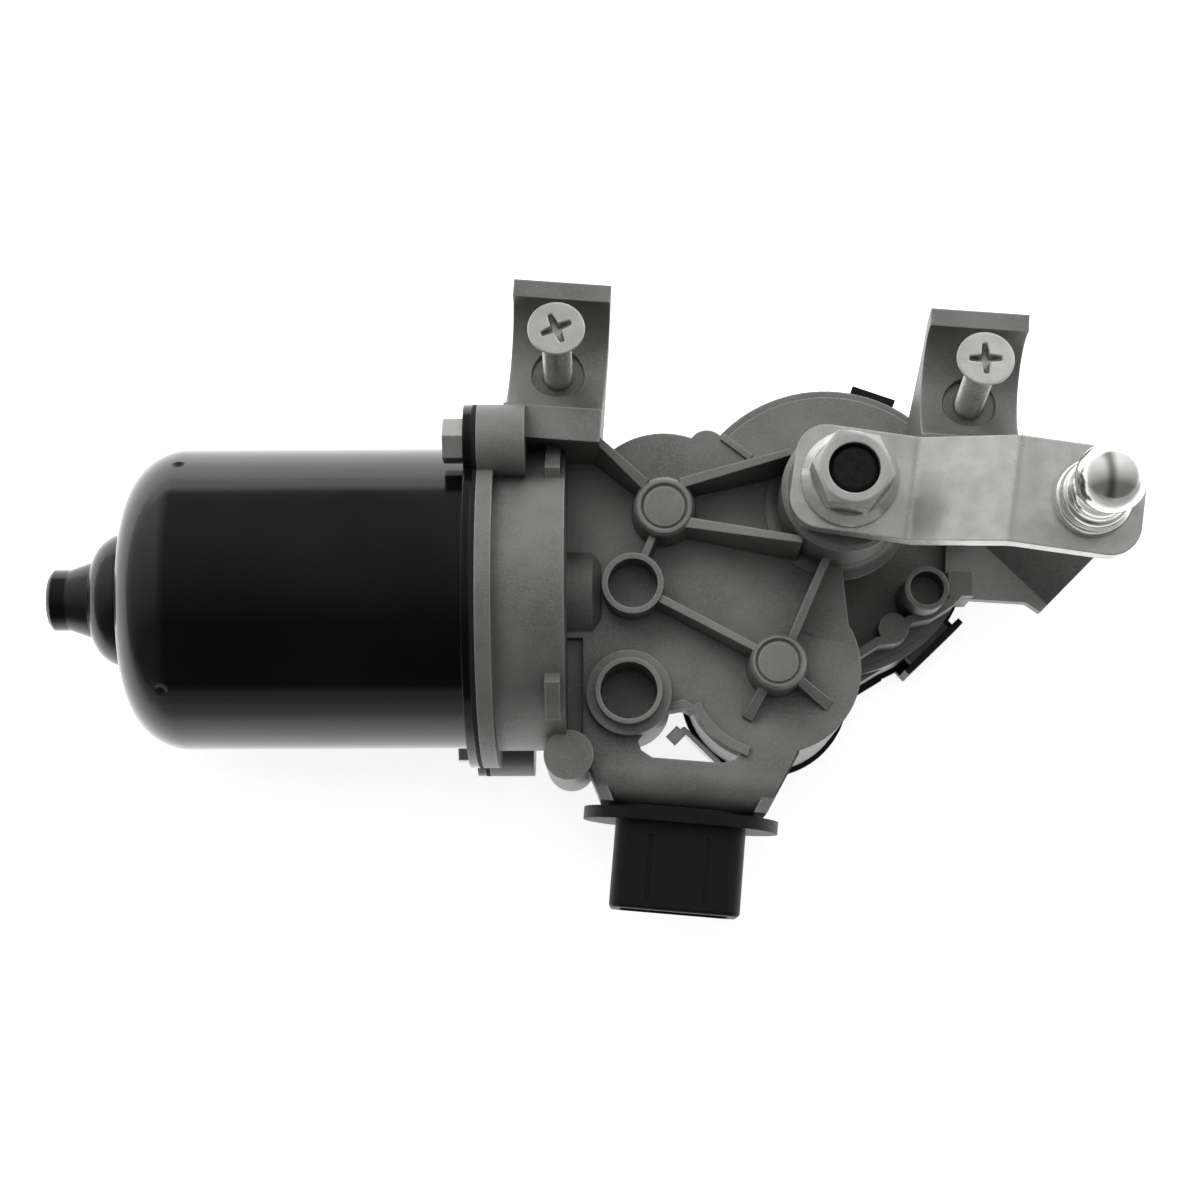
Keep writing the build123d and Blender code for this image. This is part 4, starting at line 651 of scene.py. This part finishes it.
class WIPER_OT_tube_screws(bpy.types.Operator):
    """Make the two countersunk screws with their threads and cross recesses"""
    bl_idname = "wiper.tube_screws"
    bl_label = "Tube screws"

    def execute(self, context):
        screw = context.scene.wiper_screws
        surfaces = [self.screw_surface(screw, *CAN_SIDE_SEAT, screw.can_side_turn),
                    self.screw_surface(screw, *GEAR_SIDE_SEAT, screw.gear_side_turn)]
        zinc = bright_zinc_steel(context.scene.wiper_finish)
        piece = add_piece(context, "tube_screws_threaded", surfaces, zinc)
        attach(piece, "housing")
        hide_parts("tube_screws")
        return {"FINISHED"}

    def screw_surface(self, screw, x, y, turn):
        """Head, cross recess and thread as one surface.

        The thread takes depth * (1.5 |2 t - 1| - 0.2), kept between none and all of the depth, from the
        radius, with t the fraction of height / pitch - angle / 2 pi. It fades in below the head.
        """
        top, tip = to_mm(screw.head_top), SCREW_TIP_Z
        head_r, thread_r, pitch = to_mm(screw.head_radius), to_mm(screw.thread_radius), to_mm(screw.pitch)
        rim_width, thread_start, thread_end = 0.5, top - 3.8, tip + 1.2
        flat = np.linspace(0.0, head_r - rim_width, 44)
        rim = rounded_profile([(head_r - rim_width, top), (head_r, top), (head_r, top - 0.6),
                               (thread_r + 0.1, top - 3.1), (thread_r, top - 3.7)], 2)
        shank = np.arange(thread_start, thread_end, -pitch / 8)
        point = [(thread_r - 0.9, tip + 0.1), (thread_r - 1.2, tip), (0.0, tip)]
        profile = np.vstack([np.stack([flat, np.full(len(flat), top)], axis=1), rim[1:],
                             np.stack([np.full(len(shank), thread_r), shank], axis=1), point])
        radius, height = spread(profile, screw.columns)
        angle = 2 * np.pi * np.arange(screw.columns) / screw.columns
        part = (height / pitch - angle / (2 * np.pi)) % 1.0
        fade = np.clip((thread_start - height) / 2.5, 0.0, 1.0) * (height > thread_end)
        thread = to_mm(screw.thread_depth) * np.clip(1.5 * np.abs(2 * part - 1) - 0.2, 0.0, 1.0) * fade
        sink = self.recess_sink(screw, radius, angle - turn)
        sink *= (np.arange(len(profile)) < len(flat))[:, None]
        place = (Matrix.Translation((x, y, SEAT_Z)) @ Matrix.Rotation(SCREW_TURN, 4, "Z")
                 @ Matrix.Rotation(SCREW_LEAN, 4, "X"))
        return turned_surface(radius - thread, height - sink, place)

    def recess_sink(self, screw, radius, away):
        """How far the cross recess lies below the head.

        With u along a wing and v across it, the sink is depth * (1 - 0.75 (u / reach)^2) inside the wing,
        where v < 0.95 - 0.14 u and u < reach. Both limits have a short slope, and the deeper wing counts.
        """
        reach, depth = to_mm(screw.recess_reach), to_mm(screw.recess_depth)
        sink = np.zeros_like(radius)
        for wing in (0.0, np.pi / 2):
            along = np.abs(radius * np.cos(away - wing))
            across = np.abs(radius * np.sin(away - wing))
            flank = np.clip((0.95 - 0.14 * along - across) / 0.22, 0.0, 1.0)
            end = np.clip((reach - along) / 0.35, 0.0, 1.0)
            bowl = np.clip(depth * (1 - 0.75 * (along / reach) ** 2), 0.0, None)
            sink = np.maximum(sink, flank * end * bowl)
        return sink


class WIPER_OT_ball_stud(bpy.types.Operator):
    """Make the polished ball stud"""
    bl_idname = "wiper.ball_stud"
    bl_label = "Ball stud"

    def execute(self, context):
        surface = self.stud_surface(context.scene.wiper_stud)
        piece = add_piece(context, "ball_stud_turned", [surface], polished_steel(context.scene.wiper_finish))
        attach(piece, "output")
        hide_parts("ball_stud")
        return {"FINISHED"}

    def stud_surface(self, stud):
        """The ball is r = R sin q, h = centre + R cos q. The collars below it are a profile with cut corners."""
        ball_r, centre = to_mm(stud.ball_radius), to_mm(stud.ball_height)
        polar = np.linspace(0.0, np.pi - np.arcsin(STUD_NECK_R / ball_r), 72)
        ball = np.stack([ball_r * np.sin(polar), centre + ball_r * np.cos(polar)], axis=1)
        collar = rounded_profile([(STUD_NECK_R, ball[-1, 1]), *STUD_COLLARS], 3)
        profile = np.vstack([ball, collar[1:], STUD_RIVET])
        return turned_surface(*spread(profile, stud.columns), Matrix.Translation((*STUD_AXIS, 0.0)))


class WIPER_OT_dark_parts(bpy.types.Operator):
    """Dress the black mouldings, the rubber and the blackened steel"""
    bl_idname = "wiper.dark_parts"
    bl_label = "Dark parts"

    def execute(self, context):
        dress_rows(DARK_FINISHES)
        return {"FINISHED"}


class WIPER_OT_inner_parts(bpy.types.Operator):
    """Dress the pieces inside the motor and the gear case"""
    bl_idname = "wiper.inner_parts"
    bl_label = "Inner parts"

    def execute(self, context):
        dress_rows(INNER_FINISHES)
        return {"FINISHED"}


class WIPER_PT_panel(bpy.types.Panel):
    """Lists the settings and the steps that dress the wiper motor"""
    bl_idname = "WIPER_PT_panel"
    bl_label = "Wiper Motor"
    bl_space_type = "VIEW_3D"
    bl_region_type = "UI"
    bl_category = "Wiper Motor"

    def draw(self, context):
        for attribute, group in SETTINGS.items():
            box = self.layout.box()
            for name in group.__annotations__:
                box.prop(getattr(context.scene, attribute), name)
        for operator in OPERATORS:
            self.layout.operator(operator.bl_idname)


SETTINGS = {"wiper_finish": FinishSettings, "wiper_screws": ScrewSettings, "wiper_stud": StudSettings,
            "wiper_discs": DiscSettings, "wiper_stage": StageSettings}
OPERATORS = (WIPER_OT_camera, WIPER_OT_stage, WIPER_OT_cast_parts, WIPER_OT_boss_discs, WIPER_OT_motor_can,
             WIPER_OT_bright_parts, WIPER_OT_tube_screws, WIPER_OT_ball_stud, WIPER_OT_dark_parts,
             WIPER_OT_inner_parts)
CLASSES = tuple(SETTINGS.values()) + OPERATORS + (WIPER_PT_panel,)


def register():
    for cls in CLASSES:
        bpy.utils.register_class(cls)
    for attribute, group in SETTINGS.items():
        setattr(bpy.types.Scene, attribute, PointerProperty(type=group))


def unregister():
    for attribute in SETTINGS:
        delattr(bpy.types.Scene, attribute)
    for cls in reversed(CLASSES):
        bpy.utils.unregister_class(cls)


def main():
    register()
    bpy.context.scene.view_settings.view_transform = "Standard"
    for operator in OPERATORS:
        group, name = operator.bl_idname.split(".")
        getattr(getattr(bpy.ops, group), name)()
    bpy.context.view_layer.update()


if __name__ == "__main__":
    main()
